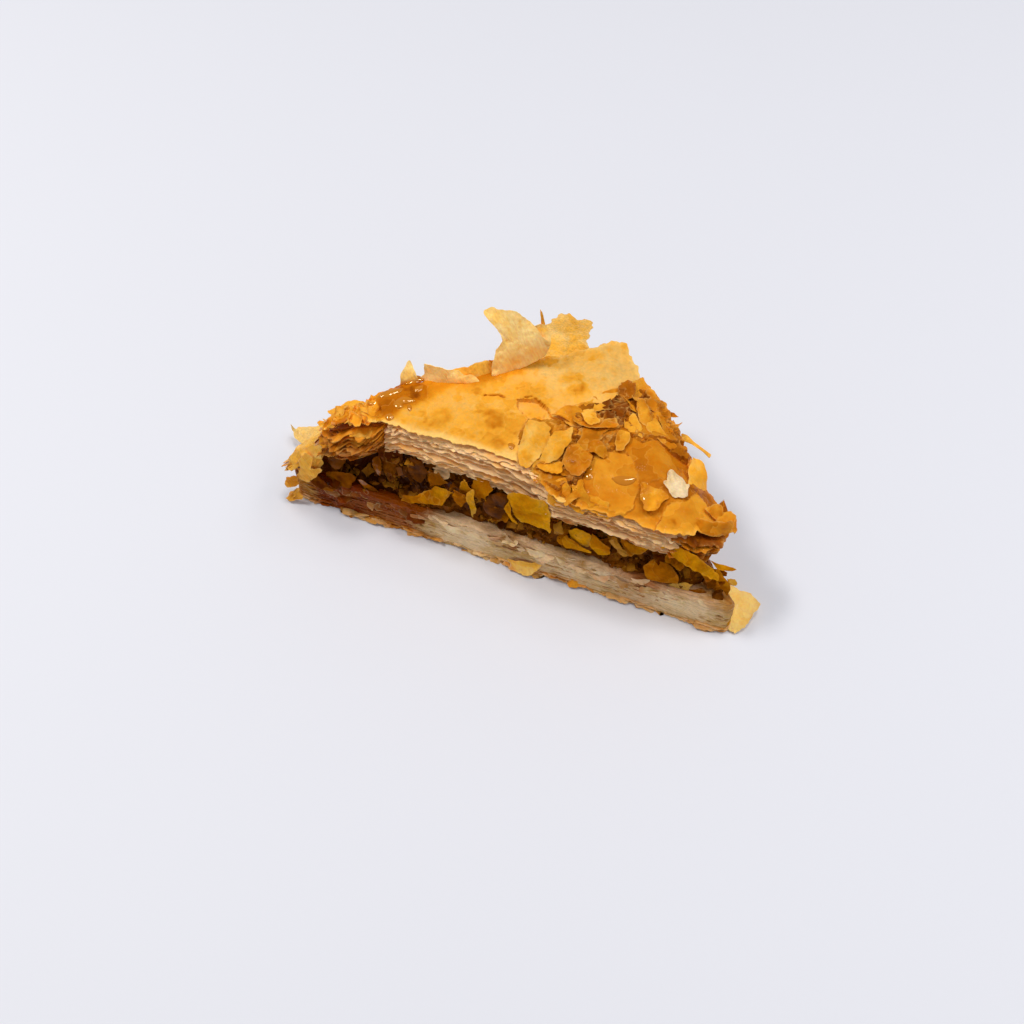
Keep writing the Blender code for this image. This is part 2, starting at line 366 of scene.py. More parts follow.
@dataclass(frozen=True)
class TornSheet:
    """A scrap of sheet: the corners of its outline, and how it swells, tears, creases and is baked.

    With a floor under it, the third number of a corner is its lift over that floor.
    """

    corners: tuple[Corner, ...]
    puff: float = 0.4
    ragged: float = 0.3
    crease: float = 0.2
    bake: float = 0.4
    wet: float = 0.3
    tone: float = 0.5
    thick: float = 0.13
    ribs: float = 0.0
    curl: float = 0.0

    def skin(self, seed: int, floor: Heights | None = None) -> Skin:
        """The scrap as a thin closed sheet.

        Args:
            seed: which unevenness it has.
            floor: the height of what it lies on, over places in plan, or None if it stands free.

        Returns:
            The closed sheet.
        """
        grain = Grain(seed)
        corners = np.array(self.corners, float)
        origin, axes = self.plane(corners, floor is not None)
        following = np.roll(corners, -1, axis=0)
        cut = np.stack([0.93 * corners + 0.07 * following, 0.07 * corners + 0.93 * following], 1)
        corners = cut.reshape(-1, 3)
        flat = (corners - origin) @ axes.T
        edge, distance = self.torn_edge(flat[:, :2], grain)
        middle = edge.mean(axis=0)
        reach = np.linalg.norm(edge - middle, axis=1).mean()
        count = int(np.clip(reach / 0.45, 5, 16))
        shares = (np.arange(1, count + 1) / count) ** 0.75
        plan = middle + shares[:, None, None] * (edge - middle)[None]
        plan = np.concatenate([plan.reshape(-1, 2), middle[None]])
        share = np.append(np.repeat(shares, len(edge)), 0.0)
        closeness = 1 / (np.square(plan[:, None] - flat[None, :, :2]).sum(axis=2) + 0.4) ** 1.5
        height = (closeness * flat[None, :, 2]).sum(axis=1) / closeness.sum(axis=1)
        turn = 2.4 * seed
        across = (plan - middle) @ np.array([math.cos(turn), math.sin(turn)]) / reach
        height += self.puff * (1 - np.minimum(across**2, 1.6))
        folds = grain.rough(plan * np.array([1.0, 0.6]), 3.2) + 0.25 * grain.at(plan, 0.9)
        height += self.crease * folds
        curl = grain.at(np.append(np.tile(distance, count), 0.0)[:, None], 4.0)
        height += (1.6 * self.crease * curl + self.curl) * share**4
        height += self.ribs * np.sin(plan @ np.array([2.9, 1.1]) + 1.5 * grain.at(plan, 4.0))
        columns = np.arange(len(edge))
        fan = np.stack([columns, (columns + 1) % len(edge), np.full(len(edge), len(plan) - 1)], 1)
        faces = np.concatenate([grid_faces(count, len(edge), around=True), fan[:, [1, 0, 2]]])
        if floor is None:
            points = origin + plan @ axes[:2] + height[:, None] * axes[2]
        else:
            points = np.column_stack([plan, floor(plan) + height])
        # Painted shade: browner and darker down in the creases, paler and lighter on the folds; the rim
        # state paints a highlight along the torn edge
        state = {
            "bake": self.bake + 0.12 * grain.rough(plan, 4.0) - 0.16 * folds,
            "wet": np.clip(self.wet + 0.25 * grain.rough(plan, 3.0), 0, 1),
            "tone": self.tone + 0.1 * grain.at(plan, 2.5) + 0.15 * folds,
            "rim": share**12,
        }
        return thickened(points, faces, self.thick, state)

    @staticmethod
    def plane(corners: Array, level: bool) -> tuple[Array, Array]:
        """The flat plane nearest to the corners.

        Args:
            corners: (k, 3) corners.
            level: whether the plane is simply the horizontal one.

        Returns:
            Its origin, and its three axes as rows, the last facing up and to the front.
        """
        if level:
            return np.zeros(3), np.eye(3)
        origin = corners.mean(axis=0)
        axes = np.linalg.svd(corners - origin)[2]
        if axes[2] @ np.array([0.2, -0.55, 0.8]) < 0:
            axes[2] = -axes[2]
        axes[1] = np.cross(axes[2], axes[0])
        return origin, axes

    def torn_edge(self, flat: Array, grain: Grain) -> tuple[Array, Array]:
        """The outline with its torn teeth.

        Args:
            flat: (k, 2) corners.
            grain: the unevenness to use.

        Returns:
            Points along the edge, and how far round each one is.
        """
        looped = np.concatenate([flat, flat[:1]])
        lengths = lengths_along(looped)
        count = int(np.clip(lengths[-1] / 0.33, 40, 220))
        distance = np.arange(count) * lengths[-1] / count
        edge = placed_along(looped, lengths, distance)
        edge = (np.roll(edge, 1, 0) + 2 * edge + np.roll(edge, -1, 0)) / 4
        along = unit(np.roll(edge, -1, 0) - np.roll(edge, 1, 0))
        outwards = np.stack([along[:, 1], -along[:, 0]], 1)
        outwards *= np.sign((outwards * (edge - edge.mean(axis=0))).sum())
        teeth = 0.6 * grain.at(edge, 0.7) + 1.0 * grain.at(edge + 40, 1.9) + 0.9 * grain.at(edge + 80, 4.5)
        return edge + outwards * (self.ragged * (teeth - 0.2))[:, None], distance


def torn(*corners: Corner, **looks: float) -> TornSheet:
    """A torn sheet from its corners in order, and its looks."""
    return TornSheet(corners, **looks)


def level(lift: float, *places: Place) -> tuple[Corner, ...]:
    """Corners in plan that all have the same lift."""
    return tuple((x, y, lift) for x, y in places)


def together(sheets: Sequence[TornSheet], first_seed: int, floor: Heights | None = None) -> Skin:
    """Several torn sheets as one surface.

    Args:
        sheets: the sheets.
        first_seed: the unevenness of the first one; each sheet after it has the next.
        floor: the height of what they lie on, or None if they stand free.

    Returns:
        The closed sheets.
    """
    return joined([sheet.skin(first_seed + number, floor) for number, sheet in enumerate(sheets)])


# --- the plan and the heights of the slab -----------------------------------------------------------


@dataclass(frozen=True)
class Outline:
    """Places round the plan, evenly spaced, with the way out and the distance round at each."""

    places: Array
    outward: Array
    along: Array


@dataclass(frozen=True)
class Slab:
    """The cut triangle and the heights of its layers."""

    corners: tuple[Place, ...] = ((-62.0, 0.9), (62.0, -2.7), (17.0, 48.3))
    middle: Place = (12.7, 20.4)
    mount_place: Place = (13.0, 20.5)
    pressed: float = 12.0
    filling: float = 25.0
    crown: float = 38.3
    loose_gap: float = 0.6
    tip_curl: float = 4.0
    left_droop: float = 5.0
    arch: float = 3.5
    hollow: float = 6.5
    right_sag: float = 2.6
    tip_sag: float = 3.4
    corner_rise: float = 0.8
    whole_set_back: float = 3.8
    corner_set_back: float = 4.5
    left_edge: tuple[Place, ...] = (
        (-50, -5), (-45, -6), (-40, -6), (-37, -5), (-34, -3), (-31, -2), (-22, -0.5), (-10, 0.5),
    )
    right_edge: tuple[Place, ...] = (
        (0, -8), (3.5, -6.5), (6.5, -3), (9.5, 0), (12, 0.5), (13.5, -1), (17, 1), (20, 0.5), (22, -1.5),
        (26, 0), (30, 0), (33, -1), (36, -3.5), (42, -2.5), (46, -1.5),
    )
    right_droop: tuple[Place, ...] = (
        (0, 3), (10, 3), (17, 5), (20, 4.5), (26, 3.5), (31, 2), (36, 1.5), (42, 1), (48, 0),
    )

    def datum(self, record: dict) -> Array:
        """Where the middle of the cut side stands in the row frame, found from the resting face."""
        mount = next(mount for mount in record["mounts"] if mount["name"] == "underside")
        return np.array(mount["pos_m"]) - np.array([*self.mount_place, 0.0]) * MM

    def outline(self, insets: Corner, radii: Corner, stations: int, baked: bool = False) -> Outline:
        """The triangle with its sides moved in and its corners rounded.

        Args:
            insets: how far in the front, right and left sides lie.
            radii: of the left, right and back corners.
            stations: how many places round it.
            baked: whether it follows the broken crust in and out.

        Returns:
            The places round it.
        """
        corners = np.array(self.corners)
        path, outwards = [], []
        for index in range(3):
            coming = unit(corners[index] - corners[index - 1])
            going = unit(corners[(index + 1) % 3] - corners[index])
            sides = np.array([[-coming[1], coming[0]], [-going[1], going[0]]])
            corner = corners[index] + np.linalg.solve(sides, [insets[index - 1], insets[index]])
            turn = math.acos(float(coming @ going))
            centre = corner + radii[index] * (sides[0] - coming * math.tan(turn / 2))
            for angle in np.linspace(0, turn, 12):
                out = math.cos(angle) * -sides[0] + math.sin(angle) * coming
                path.append(centre + radii[index] * out)
                outwards.append(out)
        path, outwards = (np.array(rows + rows[:1]) for rows in (path, outwards))
        lengths = lengths_along(path)
        along = np.arange(stations) * lengths[-1] / stations
        places = placed_along(path, lengths, along)
        outward = placed_along(outwards, lengths, along)
        return Outline(self.baked_in(places) if baked else places, unit(outward), along)

    def front(self, x: float, inset: float, baked: bool) -> float:
        """Where the cut side of a layer stands at a place along it.

        Args:
            x: the place.
            inset: how far in the layer's side lies.
            baked: whether it follows the broken crust.

        Returns:
            The side's Y.
        """
        left, right = self.corners[0], self.corners[1]
        y = left[1] + (x - left[0]) * (right[1] - left[1]) / (right[0] - left[0]) + inset
        return float(self.baked_in(np.array([[x, y]]))[0, 1]) if baked else y

    def baked_in(self, places: Array) -> Array:
        """Places on an even outline, moved to where the broken crust leaves them.

        Args:
            places: (n, 2) places in plan.

        Returns:
            The moved places.
        """
        x, y = places.T
        whole = eased(x, -54, -28) * (1 - eased(x, 3, 13))
        step = self.whole_set_back * whole + self.corner_set_back * eased(x, 38, 52)
        y = y + step * (1 - eased(y, 4, 22))
        (left_x, left_y), (right_x, right_y), (back_x, back_y) = self.corners
        foot = left_y + (x - left_x) * (right_y - left_y) / (right_x - left_x)
        width = (x - left_x) * (back_y - left_y) / (back_x - left_x)
        share = np.clip((y - foot) / np.maximum(width, 1.0), 0, 1)
        y = y + share * np.interp(x, *np.transpose(self.left_edge)) * (1 - eased(x, -12, 0))
        side = right_x + (y - right_y) * (back_x - right_x) / (back_y - right_y)
        out = np.interp(y, *np.transpose(self.right_edge)) * (1 - eased(side - x, 2, 14))
        return np.stack([x + out + 3.5 * (1 - eased(x, -53, -40)), y], 1)

    def pressed_top(self, places: Array) -> Array:
        """Height of the pressed sheets."""
        return self.pressed + self.tip_curl * (1 - eased(places[:, 0], -56, -49))

    def crust_underside(self, places: Array) -> Array:
        """Height of the lowest baked sheet.

        Args:
            places: (n, 2) places in plan.

        Returns:
            n heights.
        """
        x, y = places[:, 0], places[:, 1]
        droop = self.left_droop * (1 - eased(x, -48, -20))
        arch = self.arch * hump(x, -27, 14) * (1 - eased(y, 8, 24))
        return self.filling + self.loose_gap - droop + arch

    def filling_top(self, places: Array) -> Array:
        """Height of the nuts, sunk at the left of the cut side.

        Args:
            places: (n, 2) places in plan.

        Returns:
            n heights.
        """
        x, y = places[:, 0], places[:, 1]
        sunk = self.hollow * (1 - eased(x, -42, -20)) * (1 - eased(y, 3, 7))
        return self.crust_underside(places) - self.loose_gap - sunk

    def crust_top(self, places: Array) -> Array:
        """Height of the crust, without its relief.

        Args:
            places: (n, 2) places in plan.

        Returns:
            n heights.
        """
        x, y = places[:, 0], places[:, 1]
        sag = self.right_sag * eased(x, 2, 12) * (1 - eased(y, 2, 16))
        sag += self.left_droop * 0.9 * (1 - eased(x, -52, -30))
        sag += self.tip_sag * eased(x, 40, 54)
        (right_x, right_y), (back_x, back_y) = self.corners[1:]
        side = right_x + (y - right_y) * (back_x - right_x) / (back_y - right_y)
        sag += np.interp(y, *np.transpose(self.right_droop)) * (1 - eased(side - x, 0, 14))
        away = np.linalg.norm(places - np.array(self.corners[2]), axis=1)
        return self.crown - sag + self.corner_rise * (1 - eased(away, 0, 12))

    def drawn_in(self, loop: Array, share: float, height: Heights) -> Array:
        """A loop of points drawn in towards the middle, at the height of a surface."""
        plan = np.array(self.middle) + share * (loop[:, :2] - np.array(self.middle))
        return np.column_stack([plan, height(plan)])

    def capped(
        self,
        loops: list[Array],
        shares: Sequence[float],
        heights: tuple[Heights, Heights],
        states: dict[str, list[Array]],
    ) -> Skin:
        """A stack's side made a closed form, by smaller and smaller loops over its two faces.

        Args:
            loops: the loops of the side, from its foot.
            shares: how large the loops on the faces are, from the edge inwards.
            heights: of the underside and of the top.
            states: each state at the points of every loop of the side.

        Returns:
            The closed form.
        """
        under = [self.drawn_in(loops[0], share, heights[0]) for share in shares[::-1]]
        over = [self.drawn_in(loops[-1], share, heights[1]) for share in shares]
        count = len(shares)
        full = {
            name: np.concatenate([rows[0]] * count + rows + [rows[-1]] * count)
            for name, rows in states.items()
        }
        return lofted([*under, *loops, *over], full)


# --- materials --------------------------------------------------------------------------------------


class Signal:
    """A node's output that takes part in Python sums."""

    def __init__(self, tree: bpy.types.NodeTree, socket: bpy.types.NodeSocket) -> None:
        """Keeps the socket and the tree that it belongs to."""
        self.tree = tree
        self.socket = socket

    def sum_with(self, operation: str, first: "Signal | float", second: "Signal | float") -> "Signal":
        """Adds one Math node.

        Args:
            operation: what the node does.
            first: its first value.
            second: its second value.

        Returns:
            The node's result.
        """
        node = self.tree.nodes.new("ShaderNodeMath")
        node.operation = operation
        for socket, value in zip(node.inputs, (first, second)):
            if isinstance(value, Signal):
                self.tree.links.new(value.socket, socket)
            else:
                socket.default_value = value
        return Signal(self.tree, node.outputs[0])

    def __add__(self, other: "Signal | float") -> "Signal":
        """self + other."""
        return self.sum_with("ADD", self, other)

    __radd__ = __add__

    def __sub__(self, other: "Signal | float") -> "Signal":
        """self - other."""
        return self.sum_with("SUBTRACT", self, other)

    def __rsub__(self, other: float) -> "Signal":
        """other - self."""
        return self.sum_with("SUBTRACT", other, self)

    def __mul__(self, other: "Signal | float") -> "Signal":
        """self * other."""
        return self.sum_with("MULTIPLY", self, other)

    __rmul__ = __mul__

    def __truediv__(self, other: "Signal | float") -> "Signal":
        """self / other."""
        return self.sum_with("DIVIDE", self, other)


class Graph:
    """A tree of nodes, for a material or for a mesh."""

    def __init__(self, tree: bpy.types.NodeTree) -> None:
        """Keeps the tree."""
        self.tree = tree

    def node(self, kind: str, settings: dict | None = None, inputs: dict | None = None) -> bpy.types.Node:
        """Adds a node.

        Args:
            kind: the node's type.
            settings: its own settings, such as an operation; stops gives a ramp's places and colours.
            inputs: values or links for its sockets, by name or number.

        Returns:
            The node.
        """
        made = self.tree.nodes.new(kind)
        for name, value in (settings or {}).items():
            if name == "stops":
                self.set_stops(made.color_ramp, value)
            else:
                setattr(made, name, value)
        for name, value in (inputs or {}).items():
            socket = made.inputs[name]
            if isinstance(value, Signal):
                self.tree.links.new(value.socket, socket)
            elif isinstance(value, bpy.types.NodeSocket):
                self.tree.links.new(value, socket)
            else:
                socket.default_value = value
        return made

    @staticmethod
    def set_stops(ramp: bpy.types.ColorRamp, stops: Sequence[tuple[float, Colour]]) -> None:
        """Gives a ramp its colours.

        Args:
            ramp: the ramp.
            stops: each colour's place from 0 to 1, and the colour.
        """
        while len(ramp.elements) < len(stops):
            ramp.elements.new(0.5)
        for element, (place, colour) in zip(ramp.elements, stops):
            element.position = place
            element.color = (*colour, 1.0)

    def signal(self, node: bpy.types.Node, output: str | int = 0) -> Signal:
        """One of a node's outputs, for sums."""
        return Signal(self.tree, node.outputs[output])


class Recipe(Graph):
    """A material in the making."""

    def __init__(self, name: str) -> None:
        """Starts an empty material."""
        self.material = bpy.data.materials.new(name)
        self.material.use_nodes = True
        super().__init__(self.material.node_tree)
        self.tree.nodes.clear()
        self.places = self.node("ShaderNodeTexCoord").outputs["Object"]

    def state(self, name: str) -> Signal:
        """What the mesh says about its surface at each point."""
        return self.signal(self.node("ShaderNodeAttribute", {"attribute_name": name}), "Fac")

    def lumps(
        self, size: float, detail: float = 3.0, stretch: Corner = (1.0, 1.0, 1.0), turn: float = 0.0
    ) -> Signal:
        """Soft noise from 0 to 1.

        Args:
            size: how wide a lump is, in millimetres.
            detail: how many finer layers it has.
            stretch: how much longer a lump is along each axis.
            turn: how far the lumps are turned in the plane of the cut side, in radians.

        Returns:
            The noise.
        """
        turned = self.node(
            "ShaderNodeMapping", None, {"Vector": self.places, "Rotation": (0.0, turn, 0.0)}
        ).outputs[0]
        scale = tuple(1 / part for part in stretch)
        mapping = self.node("ShaderNodeMapping", None, {"Vector": turned, "Scale": scale})
        settings = {"Vector": mapping.outputs[0], "Scale": 1 / (size * MM), "Detail": detail}
        return self.signal(self.node("ShaderNodeTexNoise", None, settings))

    def clamped(self, value: Signal, start: float, end: float) -> Signal:
        """0 up to start, 1 from end on.

        Args:
            value: what is measured.
            start: where the rise starts.
            end: where it ends.

        Returns:
            The share from 0 to 1.
        """
        settings = {"interpolation_type": "SMOOTHSTEP"}
        inputs = {"Value": value, "From Min": start, "From Max": end}
        return self.signal(self.node("ShaderNodeMapRange", settings, inputs))

    def blended(self, share: Signal | float, first: object, second: object, how: str = "MIX") -> object:
        """Mixes two colours.

        Args:
            share: how much of the second.
            first: a colour or a colour socket.
            second: the other one.
            how: the Mix node's blending.

        Returns:
            The mixed colour's socket.
        """
        settings = {"data_type": "RGBA", "blend_type": how, "clamp_factor": True}
        node = self.node("ShaderNodeMix", settings, {0: share})
        for number, value in ((6, first), (7, second)):
            if isinstance(value, bpy.types.NodeSocket):
                self.tree.links.new(value, node.inputs[number])
            else:
                node.inputs[number].default_value = (*value, 1.0)
        return node.outputs[2]

    def shaded(self, inputs: dict) -> bpy.types.Material:
        """Ends the material with one surface shader.

        Args:
            inputs: values or links for the shader's sockets.

        Returns:
            The material.
        """
        shader = self.node("ShaderNodeBsdfPrincipled", None, inputs)
        self.node("ShaderNodeOutputMaterial", None, {"Surface": shader.outputs[0]})
        return self.material


class Surface(Enum):
    """What a baked or soaked sheet's surface is like close up."""

    BLISTERED = "fine blisters and pores"
    STREAKED = "fine streaks along the sheets"
    FIBROUS = "slanting fibres over pressed sheets"
    CRINKLED = "crinkles of a thin loose sheet"


@dataclass(frozen=True)
class FiloFinish:
    """Sheets of filo: pale, golden, amber or brown as they are baked, darker and glossy where wet."""

    name: str
    surface: Surface
    pale: Colour
    golden: Colour
    amber: Colour
    brown: Colour
    soaked: Colour
    dry_roughness: float = 0.58
    wet_roughness: float = 0.16
    glow: float = 0.15
    glow_depth: float = 0.5
    relief: float = 0.1
    coat: float = 0.08
    overlap: float = 0.08
    patchiness: float = 0.3
    spotting: float = 0.0
    # how dark the painted shade in the hollows of the fine relief is
    groove_shade: float = 0.2
    shine: float = 0.15
    # how strongly the painted highlight lightens thin edges
    rim_highlight: float = 0.7
    speckle: float = 0.4

    def material(self) -> bpy.types.Material:
        """The finish as a material."""
        recipe = Recipe(self.name)
        patches = recipe.lumps(8.0, 5.0)
        mottles = recipe.lumps(2.2, 4.0)
        flecks = recipe.lumps(0.7, 3.0)
        wet = recipe.clamped(recipe.state("wet") + (patches - 0.5) * 0.4, 0.1, 0.9)
        bake = recipe.state("bake") + (patches - 0.5) * self.patchiness + (flecks - 0.5) * 0.18
        bake = bake + (mottles - 0.5) * self.patchiness * 0.8
        bake = bake + recipe.clamped(recipe.lumps(3.4, 2.0), 0.6, 0.75) * self.spotting
        veils = recipe.lumps(9.0, 3.0)
        bake = bake + recipe.clamped(veils, 0.5, 0.515) * self.overlap
        stops = ((0.0, self.pale), (0.34, self.golden), (0.66, self.amber), (1.0, self.brown))
        colour = recipe.node("ShaderNodeValToRGB", {"stops": stops}, {0: bake}).outputs[0]
        tone = recipe.state("tone") * 0.55 + 0.72 + (flecks - 0.5) * self.speckle + (mottles - 0.5) * 0.3
        height, depth, groove_shade_mask = self.height(recipe, flecks, mottles)
        # Painted shade: the colour darkens in the hollows of the fine relief
        tone = tone + (groove_shade_mask - 0.5) * (1 - wet * 0.6) * self.groove_shade
        grey = recipe.node("ShaderNodeCombineXYZ", None, {0: tone, 1: tone, 2: tone}).outputs[0]
        colour = recipe.blended(1.0, colour, grey, "MULTIPLY")
        colour = recipe.blended(wet, colour, recipe.blended(1.0, colour, self.soaked, "MULTIPLY"))
        # Painted highlight: the rim state and the lines where overlapping veils meet lighten thin edges
        # towards pale, much less where wet
        seam_highlight = recipe.signal(recipe.node("ShaderNodeMath", {"operation": "ABSOLUTE"}, {0: veils - 0.5}))
        seam_highlight = (1 - recipe.clamped(seam_highlight, 0.0, 0.007)) * self.overlap * 2
        rim = recipe.state("rim") * recipe.clamped(recipe.lumps(2.8, 2.0), 0.3, 0.7)
        rim = rim * (1 - wet * 0.95) * self.rim_highlight
        colour = recipe.blended(rim + seam_highlight, colour, self.pale)
        rough = self.dry_roughness - wet * (self.dry_roughness - self.wet_roughness)
        bump = recipe.node(
            "ShaderNodeBump", None, {"Strength": 0.8, "Distance": depth * MM, "Height": height}
        )
        return recipe.shaded(
            {
                "Base Color": colour,
                "Roughness": rough + (flecks - 0.5) * 0.14,
                "Coat Weight": recipe.clamped(recipe.state("wet"), 0.88, 0.96) * 0.9 + wet * self.coat,
                "Coat Roughness": 0.05,
                "Subsurface Weight": self.glow,
                "Subsurface Radius": (1.0, 0.5, 0.12),
                "Subsurface Scale": self.glow_depth * MM,
                "Specular IOR Level": self.shine,
                "Specular Tint": (1.0, 0.62, 0.20, 1.0),
                "Normal": bump.outputs[0],
            }
        )

    def height(self, recipe: Recipe, flecks: Signal, mottles: Signal) -> tuple[Signal, float, Signal]:
        """The fine relief.

        Args:
            recipe: the material in the making.
            flecks: its fine noise.
            mottles: its middling noise.

        Returns:
            The height, its depth in millimetres, and the noise whose low places are darkened as painted
            shade.
        """
        if self.surface is Surface.STREAKED:
            streaks = recipe.lumps(0.42, 2.0, (14.0, 14.0, 1.0))
            return streaks * 0.8 + recipe.lumps(0.35, 2.0) * 0.5, self.relief * 2.0, streaks
        if self.surface is Surface.FIBROUS:
            fibres = recipe.lumps(0.4, 3.0, (1.0, 1.0, 5.0), 0.9)
            sheets = recipe.lumps(0.5, 2.0, (9.0, 9.0, 1.0))
            return fibres + sheets * 0.7 + mottles * 0.6, self.relief * 2.0, fibres * 0.6 + sheets * 0.4
        if self.surface is Surface.CRINKLED:
            veins = recipe.lumps(0.45, 3.0, (1.0, 1.0, 8.0), 0.4)
            return recipe.lumps(1.7, 5.0) + veins * 0.35 + flecks * 0.3, self.relief * 3.0, veins
        pores = recipe.clamped(recipe.lumps(0.55, 1.0), 0.62, 0.8)
        wrinkles = recipe.lumps(1.3, 4.0)
        return mottles + wrinkles * 0.5 + flecks * 0.2 - pores * 0.25, self.relief * 4.0, wrinkles


@dataclass(frozen=True)
class NutFinish:
    """Broken nuts in dark syrup: skins, cut faces and soaked crumbs."""

    name: str
    dark: Colour
    warm: Colour
    light: Colour
    roughness: float = 0.36
    grain: float = 1.1

    def material(self) -> bpy.types.Material:
        """The finish as a material."""
        recipe = Recipe(self.name)
        lumps = recipe.lumps(self.grain * 2.6, 4.0)
        fine = recipe.lumps(self.grain * 0.5, 3.0)
        shade = recipe.state("tone") * 0.6 + (lumps - 0.5) * 0.9 + (fine - 0.5) * 0.3 + 0.15
        stops = ((0.0, self.dark), (0.45, self.warm), (1.0, self.light))
        colour = recipe.node("ShaderNodeValToRGB", {"stops": stops}, {0: shade}).outputs[0]
        bump = recipe.node(
            "ShaderNodeBump", None, {"Strength": 0.6, "Distance": 0.25 * MM, "Height": lumps + fine * 0.5}
        )
        return recipe.shaded(
            {
                "Base Color": colour,
                "Roughness": self.roughness + (fine - 0.5) * 0.25,
                "Specular IOR Level": 0.05,
                "Specular Tint": (1.0, 0.5, 0.12, 1.0),
                "Coat Weight": 0.015,
                "Coat Roughness": 0.08,
                "Normal": bump.outputs[0],
            }
        )


@dataclass(frozen=True)
class PlainFinish:
    """One even surface, faintly mottled: the floor, or a bead of syrup."""

    name: str
    colour: Colour
    roughness: float = 0.5
    mottle: float = 0.03
    size: float = 30.0
    specular: float = 0.5
    tint: Colour = (1.0, 1.0, 1.0)

    def material(self) -> bpy.types.Material:
        """The finish as a material."""
        recipe = Recipe(self.name)
        darker = tuple(part * (1 - self.mottle) for part in self.colour)
        colour = recipe.blended(recipe.lumps(self.size), self.colour, darker)
        return recipe.shaded(
            {
                "Base Color": colour,
                "Roughness": self.roughness,
                "Specular IOR Level": self.specular,
                "Specular Tint": (*self.tint, 1.0),
            }
        )


CRUST = FiloFinish(
    "golden_crust",
    Surface.BLISTERED,
    pale=(0.93, 0.55, 0.15),
    golden=(0.89, 0.39, 0.030),
    amber=(0.60, 0.185, 0.004),
    brown=(0.22, 0.045, 0.001),
    soaked=(0.96, 0.86, 0.50),
    spotting=0.18,
    patchiness=0.4,
    coat=0.03,
)
BAKED = FiloFinish(
    "baked_sheets",
    Surface.STREAKED,
    pale=(0.92, 0.62, 0.33),
    golden=(0.80, 0.38, 0.08),
    amber=(0.52, 0.17, 0.010),
    brown=(0.14, 0.032, 0.002),
    soaked=(0.75, 0.45, 0.08),
    patchiness=0.5,
    groove_shade=0.45,
    shine=0.15,
    coat=0.03,
    rim_highlight=1.0,
)
PRESSED = FiloFinish(
    "pressed_sheets",
    Surface.FIBROUS,
    pale=(0.95, 0.69, 0.40),
    golden=(0.64, 0.38, 0.12),
    amber=(0.42, 0.14, 0.006),
    brown=(0.12, 0.035, 0.003),
    soaked=(0.42, 0.135, 0.003),
    shine=0.1,
    coat=0.02,
    patchiness=0.6,
    relief=0.16,
    groove_shade=0.5,
)
LOOSE = FiloFinish(
    "loose_leaves",
    Surface.CRINKLED,
    pale=(0.97, 0.66, 0.26),
    golden=(0.93, 0.46, 0.06),
    amber=(0.68, 0.235, 0.006),
    brown=(0.24, 0.055, 0.002),
    soaked=(0.96, 0.86, 0.50),
    wet_roughness=0.14,
    patchiness=0.3,
    groove_shade=0.85,
    shine=0.1,
    rim_highlight=0.5,
)
AMBER = FiloFinish(
    "soaked_leaves",
    Surface.CRINKLED,
    pale=(0.74, 0.42, 0.1),
    golden=(0.76, 0.335, 0.005),
    amber=(0.45, 0.145, 0.002),
    brown=(0.10, 0.018, 0.0008),
    soaked=(0.95, 0.85, 0.50),
    dry_roughness=0.4,
    wet_roughness=0.12,
    patchiness=0.5,
    groove_shade=0.5,
    shine=0.0,
    coat=0.02,
    rim_highlight=0.4,
    speckle=0.8,
)
NUTS = NutFinish("nuts_in_syrup", (0.035, 0.005, 0.0002), (0.21, 0.055, 0.001), (0.55, 0.24, 0.018))
SYRUP = PlainFinish(
    "syrup_beads", (0.66, 0.22, 0.005), 0.05, 0.2, 2.0, specular=1.0, tint=(1.0, 0.82, 0.55)
)
FLOOR = PlainFinish("pale_floor", (0.795, 0.80, 0.855), 0.6, 0.01, 120.0)


# --- finished pieces --------------------------------------------------------------------------------


class Slot(Enum):
    """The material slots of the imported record."""

    CRUST = "golden_crust"
    PRESSED = "pressed_filo"
    FILLING = "nut_filling"


@dataclass(frozen=True)
class Kitchen:
    """Turns skins into finished objects that ride on the piece's one body."""

    datum: tuple[float, float, float]

    def mesh(self, name: str, skin: Skin) -> bpy.types.Mesh:
        """A skin as a mesh in metres, in its place, with its states as attributes.

        Args:
            name: the mesh's name.
            skin: the closed surface.

        Returns:
            The mesh.
        """
        mesh = bpy.data.meshes.new(name)
        mesh.vertices.add(len(skin.points))
        places = skin.points * MM + np.array(self.datum)
        mesh.vertices.foreach_set("co", places.astype(np.float32).ravel())
        mesh.loops.add(skin.faces.size)
        mesh.loops.foreach_set("vertex_index", skin.faces.astype(np.int32).ravel())
        mesh.polygons.add(len(skin.faces))
        mesh.polygons.foreach_set("loop_start", np.arange(0, skin.faces.size, 3, dtype=np.int32))
        mesh.update(calc_edges=True)
        for state in STATES:
            layer = mesh.attributes.new(state, "FLOAT", "POINT")
            layer.data.foreach_set("value", skin.state[state].astype(np.float32))
        mesh.shade_smooth()
        mesh.set_sharp_from_angle(angle=CRISP)
        mesh.validate()
        return mesh

    def serve(
        self, name: str, skin: Skin | bpy.types.Mesh, material: bpy.types.Material, slot: Slot, *nodes: str
    ) -> bpy.types.Object:
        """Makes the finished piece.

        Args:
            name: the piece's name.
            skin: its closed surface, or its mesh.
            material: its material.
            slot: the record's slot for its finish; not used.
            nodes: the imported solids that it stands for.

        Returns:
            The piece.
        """
        mesh = skin if isinstance(skin, bpy.types.Mesh) else self.mesh(name, skin)
        mesh.materials.clear()
        mesh.materials.append(material)
        piece = bpy.data.objects.new(name, mesh)
        bpy.context.scene.collection.objects.link(piece)
        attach(piece, "root")
        if nodes:
            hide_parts(*nodes)
        log.info("%s: %d faces", name, len(mesh.polygons))
        return piece


# --- what repeats: sheets' edges, nuts strewn over a surface, tongues, frills and flakes -------------


